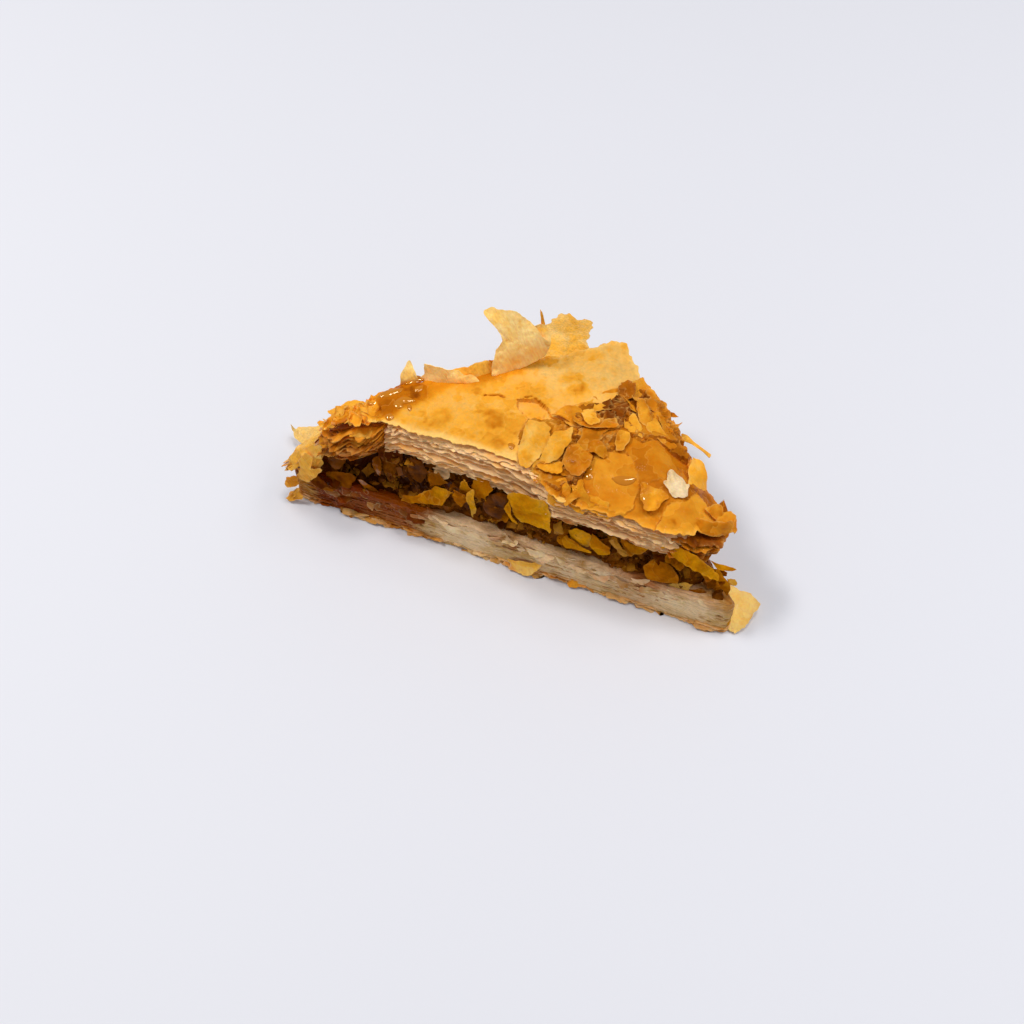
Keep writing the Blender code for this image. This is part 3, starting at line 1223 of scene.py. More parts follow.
class Layout(Graph):
    """A geometry tree with named inputs, run once on a mesh to give a plain mesh."""

    def __init__(self, name: str) -> None:
        """Starts a tree with a geometry input and output."""
        super().__init__(bpy.data.node_groups.new(name, "GeometryNodeTree"))
        self.sockets: dict[str, str] = {}
        self.values: dict[str, object] = {}
        self.tree.interface.new_socket("Geometry", in_out="INPUT", socket_type="NodeSocketGeometry")
        self.tree.interface.new_socket("Geometry", in_out="OUTPUT", socket_type="NodeSocketGeometry")
        self.entry = self.node("NodeGroupInput")
        self.exit = self.node("NodeGroupOutput")

    def size(self, name: str, value: float | int) -> Signal:
        """A named input of the tree.

        Args:
            name: the input's name.
            value: what it is set to.

        Returns:
            The input, for sums.
        """
        kind = "NodeSocketInt" if isinstance(value, int) else "NodeSocketFloat"
        socket = self.tree.interface.new_socket(name, in_out="INPUT", socket_type=kind)
        self.sockets[name] = socket.identifier
        self.values[name] = value
        return Signal(self.tree, self.entry.outputs[name])

    def field(self, name: str, kind: str = "FLOAT") -> bpy.types.NodeSocket:
        """An attribute of the mesh, by its name."""
        node = self.node("GeometryNodeInputNamedAttribute", {"data_type": kind}, {"Name": name})
        return node.outputs["Attribute"]

    def noise(self, place: object, size: float, slice_at: object, offset: float = 0.0) -> Signal:
        """Soft noise from about -1 to 1 over places.

        Args:
            place: a vector.
            size: how wide a lump is, in metres.
            slice_at: which unevenness it is.
            offset: what is added to it.

        Returns:
            The noise.
        """
        inputs = {"Vector": place, "Scale": 1 / size, "Detail": 2.0, "W": slice_at}
        node = self.node("ShaderNodeTexNoise", {"noise_dimensions": "4D"}, inputs)
        return self.signal(node) * 4 - 2 + offset

    def point(self, x: object = 0.0, y: object = 0.0, z: object = 0.0) -> bpy.types.NodeSocket:
        """A vector from three numbers."""
        return self.node("ShaderNodeCombineXYZ", None, {0: x, 1: y, 2: z}).outputs[0]

    def scaled(self, vector: object, by: object) -> bpy.types.NodeSocket:
        """A vector times a number."""
        settings = {"operation": "SCALE"}
        return self.node("ShaderNodeVectorMath", settings, {0: vector, "Scale": by}).outputs[0]

    def added(self, first: object, second: object) -> bpy.types.NodeSocket:
        """The sum of two vectors."""
        settings = {"operation": "ADD"}
        return self.node("ShaderNodeVectorMath", settings, {0: first, 1: second}).outputs[0]

    def stored(self, geometry: object, name: str, value: object, domain: str) -> bpy.types.NodeSocket:
        """The geometry with one more attribute.

        Args:
            geometry: what carries it.
            name: the attribute's name.
            value: a number or a field.
            domain: where it is kept, such as on points or on instances.

        Returns:
            The geometry's socket.
        """
        settings = {"data_type": "FLOAT", "domain": domain}
        inputs = {"Geometry": geometry, "Name": name, "Value": value}
        return self.node("GeometryNodeStoreNamedAttribute", settings, inputs).outputs[0]

    def moved(self, geometry: object, offset: object) -> bpy.types.NodeSocket:
        """The geometry with its points moved."""
        inputs = {"Geometry": geometry, "Offset": offset}
        return self.node("GeometryNodeSetPosition", None, inputs).outputs[0]

    def chance(self, kind: str, inputs: dict) -> bpy.types.NodeSocket:
        """A random value for each point, a FLOAT or a FLOAT_VECTOR."""
        node = self.node("FunctionNodeRandomValue", {"data_type": kind}, inputs)
        return node.outputs[0 if kind == "FLOAT_VECTOR" else 1]

    def finish(self, geometry: object, material: bpy.types.Material) -> None:
        """Ends the tree: real geometry, with its material.

        Args:
            geometry: what the tree made.
            material: its material.
        """
        real = self.node("GeometryNodeRealizeInstances", None, {0: geometry})
        dressed = self.node(
            "GeometryNodeSetMaterial", None, {"Geometry": real.outputs[0], "Material": material}
        )
        self.tree.links.new(dressed.outputs[0], self.exit.inputs[0])

    def run(self, name: str, mesh: bpy.types.Mesh) -> bpy.types.Mesh:
        """Runs the tree on a mesh.

        Args:
            name: the result's name.
            mesh: what it starts from.

        Returns:
            The result as a plain mesh.
        """
        holder = bpy.data.objects.new(name, mesh)
        bpy.context.scene.collection.objects.link(holder)
        modifier = holder.modifiers.new(name, "NODES")
        modifier.node_group = self.tree
        for socket, identifier in self.sockets.items():
            modifier[identifier] = self.values[socket]
        evaluated = holder.evaluated_get(bpy.context.evaluated_depsgraph_get())
        made = bpy.data.meshes.new_from_object(evaluated)
        holder.modifiers.remove(modifier)
        bpy.data.objects.remove(holder)
        made.name = name
        made.shade_smooth()
        made.set_sharp_from_angle(angle=CRISP)
        return made


@dataclass(frozen=True)
class SheetEdges:
    """Thin sheets that stand out of a stack's side one above the other, wavy and ragged."""

    sheets: int
    reach: float
    ragged: float
    flutter: float
    seed: int
    thickness: float = 0.2
    rooted: float = 1.6
    across: tuple[float, ...] = (0.0, 0.5, 0.75, 0.92, 1.0)

    def strip(self, edge: Outline, state: dict[str, Array]) -> Skin:
        """One sheet's edge all the way round, flat, before it is lifted to its height.

        Args:
            edge: the stack's side in plan.
            state: how the stack is baked and wetted at each place.

        Returns:
            The closed strip.
        """
        inner = edge.places - edge.outward * self.rooted
        rows = [inner + edge.outward * self.rooted * share for share in self.across]
        upper = np.concatenate([np.column_stack([row, np.zeros(len(row))]) for row in rows])
        lower = upper - np.array([0, 0, self.thickness])
        faces = grid_faces(len(rows), len(edge.places), around=True)
        repeated = {name: np.tile(value, len(rows)) for name, value in state.items()}
        # Painted highlight along each sheet's outer edge
        repeated["rim"] = np.repeat(np.array(self.across) ** 6, len(edge.places))
        return between(upper, lower, faces, repeated)

    def mesh(
        self,
        name: str,
        kitchen: Kitchen,
        edge: Outline,
        low: Array,
        high: Array,
        state: dict[str, Array],
        material: bpy.types.Material,
    ) -> bpy.types.Mesh:
        """All the sheets' edges.

        Args:
            name: the mesh's name.
            kitchen: makes the strip's mesh.
            edge: the stack's side in plan.
            low: the stack's lowest height at each place.
            high: its greatest height there.
            state: how the stack is baked and wetted there.
            material: the sheets' material.

        Returns:
            The mesh.
        """
        strip = kitchen.mesh(name, self.strip(edge, state))
        copies = 2 * len(self.across)
        fields = {
            "along": edge.along * MM,
            "low": low * MM,
            "high": high * MM,
            "out_x": edge.outward[:, 0],
            "out_y": edge.outward[:, 1],
        }
        for label, values in fields.items():
            layer = strip.attributes.new(label, "FLOAT", "POINT")
            layer.data.foreach_set("value", np.tile(values, copies).astype(np.float32))
        share = strip.attributes.new("share", "FLOAT", "POINT")
        shares = np.tile(np.repeat(self.across, len(low)), 2)
        share.data.foreach_set("value", shares.astype(np.float32))
        return self.layout(name, material).run(name, strip)

    def layout(self, name: str, material: bpy.types.Material) -> Layout:
        """The tree that stacks the strips and tears them.

        Args:
            name: the tree's name.
            material: the sheets' material.

        Returns:
            The tree.
        """
        tree = Layout(name)
        count = tree.size("Sheets", self.sheets)
        reach = tree.size("Reach", self.reach * MM)
        ragged = tree.size("Ragged", self.ragged * MM)
        flutter = tree.size("Flutter", self.flutter * MM)
        seed = tree.size("Seed", float(self.seed))
        line = tree.node("GeometryNodeMeshLine", None, {"Count": count, "Offset": (0.0, 0.0, 0.0)})
        copies = tree.node(
            "GeometryNodeInstanceOnPoints",
            None,
            {"Points": line.outputs[0], "Instance": tree.entry.outputs[0]},
        )
        number = tree.node("GeometryNodeInputIndex").outputs[0]
        marked = tree.stored(copies.outputs[0], "sheet", number, "INSTANCE")
        real = tree.node("GeometryNodeRealizeInstances", None, {0: marked})
        sheet = Signal(tree.tree, tree.field("sheet"))
        share = Signal(tree.tree, tree.field("share"))
        low, high = Signal(tree.tree, tree.field("low")), Signal(tree.tree, tree.field("high"))
        along = tree.point(tree.field("along"))
        own = sheet * 5.3 + seed
        long_reach = tree.noise(along, 11 * MM, own)
        teeth = tree.noise(along, 0.9 * MM, own + 70) * 0.6 + tree.noise(along, 2.6 * MM, own + 90)
        out = ((long_reach * 0.9 + 0.25) * reach + teeth * ragged) * share
        outward = tree.point(tree.field("out_x"), tree.field("out_y"))
        wave = tree.noise(along, 7 * MM, own + 20) * 0.7 + tree.noise(along, 2.4 * MM, own + 40) * 0.4
        level = (sheet + 0.5) / count + tree.noise(along, 26 * MM, own + 60) * (0.45 / self.sheets)
        rise = low + (high - low) * level + wave * share * flutter
        shift = tree.added(tree.scaled(outward, out), tree.point(0.0, 0.0, rise))
        tone = tree.noise(along, 19 * MM, own + 110) * 0.25 + 0.5
        toned = tree.stored(tree.moved(real.outputs[0], shift), "tone", tone, "POINT")
        tree.finish(toned, material)
        return tree


class Crumb(Enum):
    """What can be strewn over a surface."""

    NUT = "a broken nut"
    SPECK = "a fine crumb"


@dataclass(frozen=True)
class Strewn:
    """Small things strewn over a surface, as thickly as its rim state says."""

    crumb: Crumb
    smallest: float
    largest: float
    apart: float
    density: float
    sunk: float
    seed: int

    def mesh(self, name: str, ground: bpy.types.Mesh, material: bpy.types.Material) -> bpy.types.Mesh:
        """The strewn things as one mesh.

        Args:
            name: its name.
            ground: the surface, whose rim state from 0 to 1 says how thickly they lie.
            material: their material.

        Returns:
            The mesh.
        """
        tree = Layout(name)
        smallest = tree.size("Smallest", self.smallest * MM)
        largest = tree.size("Largest", self.largest * MM)
        apart = tree.size("Apart", self.apart * MM)
        density = tree.size("Density", self.density / MM**2)
        seed = tree.size("Seed", self.seed)
        spread = tree.node(
            "GeometryNodeDistributePointsOnFaces",
            {"distribute_method": "POISSON"},
            {
                "Mesh": tree.entry.outputs[0],
                "Distance Min": apart,
                "Density Max": density,
                "Density Factor": tree.field("rim"),
                "Seed": seed,
            },
        )
        sunk = tree.scaled(spread.outputs["Normal"], -self.sunk * MM)
        turn = tree.chance("FLOAT_VECTOR", {"Max": (math.tau, math.tau, math.tau), "Seed": seed})
        scale = tree.chance("FLOAT", {2: smallest, 3: largest, "Seed": seed + 1})
        copies = tree.node(
            "GeometryNodeInstanceOnPoints",
            None,
            {
                "Points": tree.moved(spread.outputs["Points"], sunk),
                "Instance": self.shape(tree),
                "Rotation": turn,
                "Scale": scale,
            },
        )
        tone = tree.chance("FLOAT", {2: 0.1, 3: 0.9, "Seed": seed + 2})
        stored = copies.outputs[0]
        for state, value in (("tone", tone), ("bake", tone), ("wet", 0.6)):
            stored = tree.stored(stored, state, value, "INSTANCE")
        real = tree.node("GeometryNodeRealizeInstances", None, {0: stored})
        tree.finish(self.crumpled(tree, real.outputs[0]), material)
        return tree.run(name, ground)

    def shape(self, tree: Layout) -> bpy.types.NodeSocket:
        """One piece about one unit long, of a few dozen faces.

        Args:
            tree: the tree that it is made in.

        Returns:
            Its geometry's socket.
        """
        if self.crumb is Crumb.NUT:
            block = {"Size": (0.9, 0.7, 0.5), "Vertices X": 3, "Vertices Y": 3, "Vertices Z": 3}
            return tree.node("GeometryNodeMeshCube", None, block).outputs[0]
        ball = {"Radius": 0.5, "Subdivisions": 1}
        return tree.node("GeometryNodeMeshIcoSphere", None, ball).outputs[0]

    def crumpled(self, tree: Layout, geometry: bpy.types.NodeSocket) -> bpy.types.NodeSocket:
        """The real pieces with every point moved a little, so that no two are alike.

        Args:
            tree: the tree that they are made in.
            geometry: the pieces.

        Returns:
            The geometry's socket.
        """
        place = tree.node("GeometryNodeInputPosition").outputs[0]
        size = self.largest * 0.5 * MM
        parts = [tree.noise(place, size, 10.0 * axis + self.seed) for axis in range(3)]
        shift = tree.scaled(tree.point(*parts), self.largest * 0.22 * MM)
        return tree.moved(geometry, shift)


@dataclass(frozen=True)
class Span:
    """From one number to another."""

    low: float
    high: float

    def pick(self, rng: np.random.Generator) -> float:
        """Any number in the span."""
        return float(rng.uniform(self.low, self.high))


@dataclass(frozen=True)
class Tatters:
    """Torn tongues of sheet that hang, stick out or stand up along a side by one rule."""

    count: int
    across: Span
    height: Span
    behind: Span
    width: Span
    length: Span
    lean: Span
    bake: Span
    seed: int
    wet: Span = Span(0.1, 0.5)
    tone: Span = Span(0.3, 0.8)
    turn: Span = Span(-25.0, 25.0)
    ragged: float = 0.35
    crease: float = 0.22
    bend: float = 0.7

    def skins(self, front: Callable[[float], float], low: Heights, high: Heights) -> list[Skin]:
        """The tongues.

        Args:
            front: where the side stands at each place along X.
            low: the height of the foot of the layer that they belong to, there.
            high: the height of its top.

        Returns:
            One closed sheet for each.
        """
        rng = np.random.default_rng(self.seed)
        skins = []
        for number in range(self.count):
            x = self.across.pick(rng)
            root_y = front(x) + self.behind.pick(rng)
            place = np.array([[x, root_y]])
            foot, top = float(low(place)[0]), float(high(place)[0])
            root = np.array([x, root_y, foot + (top - foot) * self.height.pick(rng)])
            sheet = TornSheet(
                self.tongue(root, rng),
                puff=rng.uniform(0.1, 0.5),
                ragged=self.ragged,
                crease=self.crease,
                bake=self.bake.pick(rng),
                wet=self.wet.pick(rng),
                tone=self.tone.pick(rng),
            )
            skin = sheet.skin(self.seed * 1000 + number)
            skin.points[:, 2] = np.maximum(skin.points[:, 2], 0.02)
            skins.append(skin)
        return skins

    def tongue(self, root: Array, rng: np.random.Generator) -> tuple[Corner, ...]:
        """The corners of one tongue.

        Args:
            root: the middle of the end that is held.
            rng: picks its sizes.

        Returns:
            Its corners.
        """
        lean, turn = math.radians(self.lean.pick(rng)), math.radians(self.turn.pick(rng))
        width, length = self.width.pick(rng) / 2, self.length.pick(rng)
        along = np.array([math.cos(turn), math.sin(turn) * 0.6, rng.uniform(-0.35, 0.35)])
        down = np.array([math.sin(turn) * 0.5, -math.sin(lean), -math.cos(lean)])
        away = np.cross(along, down)
        bend = self.bend * rng.uniform(-1, 1)
        spots = (
            (-1.0, -0.15),
            (1.0, -0.15),
            (rng.uniform(0.8, 1.25), 0.45),
            (rng.uniform(0.3, 0.9), 1.0),
            (rng.uniform(-0.4, 0.3), rng.uniform(0.7, 1.15)),
            (rng.uniform(-1.0, -0.5), rng.uniform(0.5, 1.0)),
            (rng.uniform(-1.25, -0.8), 0.35),
        )
        corners = [
            root + along * across * width + down * reach * length + away * bend * reach**2
            for across, reach in spots
        ]
        return tuple(tuple(float(part) for part in corner) for corner in corners)


@dataclass(frozen=True)
class Frill:
    """The wavy, torn edges of several sheets one over another, between two lines in space."""

    lower: tuple[Corner, ...]
    upper: tuple[Corner, ...]
    sheets: int
    outward: Corner
    reach: Span
    bake: Span
    seed: int
    depth: float = 2.5
    flutter: float = 0.7
    ragged: float = 0.35
    thickness: float = 0.16
    wet: Span = Span(0.3, 0.7)
    tone: Span = Span(0.4, 0.8)
    across: tuple[float, ...] = (0.0, 0.35, 0.6, 0.8, 0.92, 1.0)
    stations: int = 120

    def skins(self) -> list[Skin]:
        """One closed strip for each sheet."""
        rng = np.random.default_rng(self.seed)
        return [self.strip(number, rng) for number in range(self.sheets)]

    def strip(self, number: int, rng: np.random.Generator) -> Skin:
        """One sheet's edge.

        Args:
            number: which sheet it is, from the lower line up.
            rng: picks its reach and its looks.

        Returns:
            The closed strip.
        """
        grain, common = Grain(self.seed * 50 + number), Grain(self.seed * 50)
        share = (number + rng.uniform(0.3, 0.7)) / self.sheets
        line = (1 - share) * self.evened(self.lower) + share * self.evened(self.upper)
        along = lengths_along(line)[:, None]
        reach = self.reach.pick(rng) * (1 + 0.5 * grain.at(along, 7.0))
        reach = reach + self.ragged * (grain.at(along, 0.8) + grain.at(along + 50, 2.2))
        wave = self.flutter * (common.at(along + 90, 6.0) + 0.5 * common.at(along + 20, 2.6))
        wave = wave + 0.45 * self.flutter * (grain.at(along + 70, 5.0) + 0.5 * grain.at(along, 1.9))
        outward = unit(np.array(self.outward))
        rows, states = [], []
        for step in self.across:
            forward = -self.depth + step * (self.depth + reach)
            droop = 0.5 * step**2 * rng.uniform(0.9, 1.1)
            row = line + outward * forward[:, None]
            rows.append(row + np.array([0.0, 0.0, 1.0]) * (wave * step - droop)[:, None])
            # The outer edge gets the rim state: a painted highlight
            states.append(np.full(len(line), step**8))
        points = np.concatenate(rows)
        looks = {
            "bake": self.bake.pick(rng) + 0.15 * grain.rough(points, 4.0),
            "wet": np.full(len(points), self.wet.pick(rng)),
            "tone": self.tone.pick(rng) + 0.2 * grain.rough(points, 2.0),
            "rim": np.concatenate(states),
        }
        return thickened(points, grid_faces(len(rows), len(line)), self.thickness, looks)

    def evened(self, corners: tuple[Corner, ...]) -> Array:
        """A line through corners in space, with points at even distances.

        Args:
            corners: the line's corners.

        Returns:
            (stations, 3) places.
        """
        corners = np.array(corners, float)
        lengths = lengths_along(corners)
        return placed_along(corners, lengths, np.linspace(0, lengths[-1], self.stations))


@dataclass(frozen=True)
class Heap:
    """Torn flakes that lie over one another in an area of the crust by one rule."""

    area: tuple[Place, ...]
    count: int
    length: Span
    slimness: Span
    lift: Span
    rise: Span
    bake: Span
    seed: int
    wet: Span = Span(0.2, 0.8)
    tone: Span = Span(0.35, 0.85)

    def skins(self, floor: Heights) -> list[Skin]:
        """The flakes.

        Args:
            floor: the height of what they lie on.

        Returns:
            One closed sheet for each.
        """
        rng = np.random.default_rng(self.seed)
        outline = np.array(self.area)
        low, high = outline.min(axis=0), outline.max(axis=0)
        skins: list[Skin] = []
        while len(skins) < self.count:
            centre = rng.uniform(low, high)
            if not enclosed(centre[None], outline)[0]:
                continue
            long, turn = self.length.pick(rng) / 2, rng.uniform(0, math.tau)
            wide = long * self.slimness.pick(rng)
            way = np.array([math.cos(turn), math.sin(turn)])
            side = np.array([-way[1], way[0]])
            sides = int(rng.integers(4, 7))
            angles = np.arange(sides) * math.tau / sides + rng.uniform(-0.35, 0.35, sides)
            reach = rng.uniform(0.6, 1.25, sides)
            base, rise = self.lift.pick(rng), self.rise.pick(rng)
            corners = []
            for angle, share in zip(angles, reach):
                plan = centre + way * long * share * math.cos(angle) + side * wide * share * math.sin(angle)
                corners.append((float(plan[0]), float(plan[1]), base + rise * math.sin(angle) * share))
            flake = TornSheet(
                tuple(corners),
                puff=rng.uniform(-0.6, 0.9),
                ragged=0.3,
                crease=0.16,
                bake=self.bake.pick(rng),
                wet=self.wet.pick(rng),
                tone=self.tone.pick(rng),
                curl=rng.uniform(-0.1, 0.8),
            )
            skins.append(flake.skin(self.seed * 1000 + len(skins), floor))
        return skins


# --- the pieces of the baklava ----------------------------------------------------------------------


@dataclass(frozen=True)
class Blister:
    """A low bubble in the crust."""

    x: float
    y: float
    radius: float
    height: float
    browned: float


@dataclass(frozen=True)
class Shards:
    """Broken crust: scraps of sheet over one another, the highest one showing at each place."""

    area: tuple[Place, ...]
    count: int
    smallest: float
    largest: float
    lowest: float
    highest: float
    seed: int
    tilt: float = 0.22
    curl: Span = Span(0.2, 1.1)
    tones: Span = Span(0.0, 0.75)

    def over(self, places: Array) -> tuple[Array, Array, Array]:
        """The shards' relief.

        Args:
            places: (n, 2) places in plan.

        Returns:
            The height over the whole crust, the tone and the closeness to a shard's edge, at each place.
        """
        rng = np.random.default_rng(self.seed)
        grain = Grain(self.seed)
        outline = np.array(self.area)
        height = np.full(len(places), self.lowest - 0.25) + 0.3 * grain.rough(places, 1.6)
        tone = np.full(len(places), 0.22)
        rim = np.zeros(len(places))
        wobble = 0.13 * grain.at(places, 0.9) + 0.1 * grain.at(places, 2.3)
        low, high = outline.min(axis=0), outline.max(axis=0)
        made = 0
        while made < self.count:
            centre = rng.uniform(low, high)
            if not enclosed(centre[None], outline)[0]:
                continue
            made += 1
            radius = rng.uniform(self.smallest, self.largest)
            sides = rng.integers(3, 6)
            angles = rng.uniform(0, math.tau) + np.arange(sides) * math.tau / sides
            angles += rng.uniform(-0.35, 0.35, sides)
            ways = np.stack([np.cos(angles), np.sin(angles)], 1)
            away = (places - centre) @ (ways / (radius * rng.uniform(0.55, 1.1, (sides, 1)))).T
            share = away.max(axis=1) + wobble
            curl = self.curl.pick(rng)
            tilt = rng.uniform(-self.tilt, self.tilt, 2)
            base = rng.uniform(self.lowest, self.highest)
            own = base + (places - centre) @ tilt + curl * np.clip(share, 0, 1) ** 3
            shows = (share < 1) & (own > height)
            height = np.where(shows, own, height)
            tone = np.where(shows, self.tones.pick(rng), tone)
            # This closeness becomes the rim state, a painted highlight along each shard's edge
            rim = np.where(shows, np.clip(share, 0, 1) ** (3 * radius), rim)
        return height, tone, rim


@dataclass(frozen=True)
class Plate:
    """A patch of sheet that lies flat on the crust, with its own level and browning."""

    outline: tuple[Place, ...]
    lift: float
    bake: float
    tone: float = 0.6


@dataclass(frozen=True)
class CrustTop:
    """The baked top sheet, whole over the middle and the back, broken up to the right and at the tip."""

    slab: Slab
    spacing: float = 0.28
    thickness: float = 0.9
    insets: Corner = (1.1, 0.5, 0.5)
    radii: Corner = (4.0, 3.5, 5.0)
    rim_rounding: float = 0.35
    blisters: tuple[Blister, ...] = (
        Blister(-18.4, 10.6, 2.8, 0.55, 0.16),
        Blister(-7, 13.5, 3.6, 0.45, 0.2),
        Blister(-3.3, 7.6, 2.4, 0.5, 0.14),
        Blister(-0.5, 7.7, 1.4, 0.45, 0),
        Blister(8.2, 30, 4.6, 0.7, 0.2),
        Blister(14, 39, 4, 0.5, 0.1),
        Blister(-13, 17.5, 5, 0.5, 0.05),
        Blister(1, 27, 6, 0.5, 0),
        Blister(46.5, 6, 1.2, -0.7, 0.5),
        Blister(49, 8.5, 2.2, 0.6, 0.1),
        Blister(42.5, 11.5, 3.4, 0.7, 0.1),
        Blister(39, 5, 3, 0.4, 0.1),
    )
    cracks: tuple[tuple[Place, ...], ...] = (
        ((-11, 20), (-8, 21.3), (-6.5, 21)),
        ((-1.8, 22.6), (-0.5, 23.2), (1.7, 22.7), (4.4, 20.9), (6, 18.9), (8.5, 19)),
        ((0.8, 17.2), (2.4, 17.8), (4.1, 17.3)),
    )
    field_shards: Shards = Shards(
        ((3, 3), (2, 7), (0.5, 11), (0.5, 15.5), (0.9, 17.2), (4.1, 17.3), (6.2, 18.8), (8.5, 19),
         (9.6, 20.3), (10.2, 22.5), (12.3, 25), (15.3, 26.2), (17.8, 28.7), (19, 31), (19.3, 33.4),
         (21.8, 34.8), (26.4, 37), (33, 31), (40, 23), (39, 18.5), (34.5, 20), (31, 20.5), (28, 18.5),
         (24.5, 18), (21.5, 14), (18.5, 12), (17, 9), (17, 4), (18, 0), (8, 0)),
        count=56, smallest=4.5, largest=11, lowest=-1.2, highest=-0.4, seed=5, tilt=0.12,
        tones=Span(0.15, 0.65),
    )
    tip_shards: Shards = Shards(
        ((-32, 2), (-31.5, 5.5), (-33, 9), (-37, 12), (-42, 14), (-52, 8), (-52, -1), (-38, -1)),
        count=36, smallest=2.5, largest=6, lowest=-1.3, highest=0.1, seed=23, tones=Span(0.2, 0.8),
    )
    right_sheet: tuple[Place, ...] = (
        (17, 4), (17, 9), (18.5, 12), (21.5, 14), (24.5, 18), (28, 18.5), (31, 20.5), (34.5, 20),
        (39, 18.5), (44, 18), (60, 10), (60, -6), (17, -6),
    )
    veils: Shards = Shards(
        ((-45, 0), (45, -3), (45, 22), (17, 48)),
        count=60, smallest=4.5, largest=11, lowest=-0.12, highest=0.12, seed=8, tilt=0.006,
        curl=Span(0, 0.05), tones=Span(0.35, 0.75),
    )
    plates: tuple[Plate, ...] = (
        Plate(
            ((18.5, 12.5), (20.5, 14), (23.5, 14.5), (26.5, 14.5), (29, 12), (30.5, 7.5), (31, 2.5),
             (29.5, 0.5), (22.5, 0.5), (19.5, 1.5), (17.5, 5), (18, 8)),
            lift=0.35, bake=0.5, tone=0.6,
        ),
        Plate(
            ((24.5, 20), (28, 19), (31, 21.5), (34.5, 20), (38.5, 18.5), (41, 14.5), (36, 12),
             (30.5, 8.5), (26.5, 14.5), (24.5, 15.5), (23.5, 18)),
            lift=0.2, bake=0.6, tone=0.5,
        ),
        Plate(
            ((37, -1), (38, 6), (42, 8), (43.5, 12), (47, 9.5), (51, 10), (56, 6), (56, -4), (40, -4)),
            lift=0.3, bake=0.36, tone=0.5,
        ),
        Plate(
            ((-3.5, 21.5), (-1, 22.6), (2, 22.6), (4.4, 20.8), (4.4, 17.4), (1, 17.2), (-2, 19)),
            lift=-0.25, bake=0.26, tone=0.52,
        ),
    )

    def skin(self) -> Skin:
        """The crust as one closed sheet."""
        edge = self.torn_outline()
        places, faces = filled(edge, self.spacing)
        height, state = self.surface(places)
        inward = distance_to(places, edge[::4], closed=True)
        height += 0.5 * Grain(79).rough(places, 3.4) * (1 - eased(inward, 0.2, 2.6))
        height -= self.rim_rounding * (1 - eased(inward, -0.4, 1.8)) ** 1.4
        reach = 3.0 + 1.6 * Grain(76).rough(places, 5.0)
        front = 1 - eased(distance_to(places, np.array([[-30.0, 3.0], [4.0, 3.5]])) - reach, -2.5, 1.5)
        foam = Grain(77).at(places, 0.75) + 0.6 * Grain(78).at(places, 1.4)
        height += 0.28 * front * np.abs(foam) + 0.12 * (1 - eased(inward, 0, 1.5)) * foam
        # Along the edge the rim state paints a highlight, and the tone is raised as painted light on the
        # drooping edge, which falls in shade; the front band is paler, with pale foam specks
        state["rim"] = np.maximum(state["rim"], 0.75 * (1 - eased(inward, 0.05, 0.5)))
        state["rim"] = np.maximum(state["rim"], front * np.clip(0.35 - 0.8 * foam, 0, 1))
        state["bake"] -= 0.42 * front + 0.15 * (1 - eased(inward, 0.0, 1.6))
        state["tone"] += 0.3 * (1 - eased(inward, 0.0, 1.6))
        under = height - 0.2 - (self.thickness - 0.2) * eased(inward, 0.1, 2.4)
        upper = np.column_stack([places, height])
        return between(upper, np.column_stack([places, under]), faces, state)

    def torn_outline(self) -> Array:
        """The crust's ragged edge in plan."""
        outline = self.slab.outline(self.insets, self.radii, 1500, baked=True)
        grain = Grain(3)
        teeth = 0.4 * grain.at(outline.places, 0.9) + 0.7 * grain.at(outline.places, 2.4)
        teeth += 0.6 * grain.at(outline.places + 60, 7.5) - 0.2
        return outline.places + outline.outward * teeth[:, None]

    def surface(self, places: Array) -> tuple[Array, dict[str, Array]]:
        """The crust's relief and how it is baked.

        Args:
            places: (n, 2) places in plan.

        Returns:
            The height at each place, and its states.
        """
        grain = Grain(11)
        x = places[:, 0]
        state = self.whole(places, grain)
        wavy = places + 0.55 * np.stack([grain.rough(places, 2.4), grain.rough(places + 50, 2.4)], 1)
        lower = enclosed(wavy, np.array(self.right_sheet))
        relief = state["relief"] - 0.7 - 0.35 * eased(x, 40, 50)
        bake = state["bake"] + 0.26 + 0.1 * grain.rough(places + 90, 7.0)
        self.put(state, lower, relief=relief, bake=bake)
        self.break_up(places, wavy, state)
        self.lay_plates(places, wavy, grain, state)
        wet = self.syrup_band(places, grain)
        side = np.array(self.slab.corners)[[0, 2]]
        shore = 1 - eased(distance_to(places, side) + 0.8 * grain.rough(places, 3.0), 0.8, 3.2)
        browner = 0.27 + 0.3 * eased(x, -37, -33) * (1 - eased(x, -31, -22))
        bake = state["bake"] + wet * (browner + 0.35 * shore * (1 - eased(x, -8, 2)))
        state["bake"] = np.clip(bake, 0, 1)
        state["wet"] = np.clip(wet + 0.18 + 0.3 * np.where(lower, 1, 0), 0, 0.85)
        return self.slab.crust_top(places) + state.pop("relief"), state

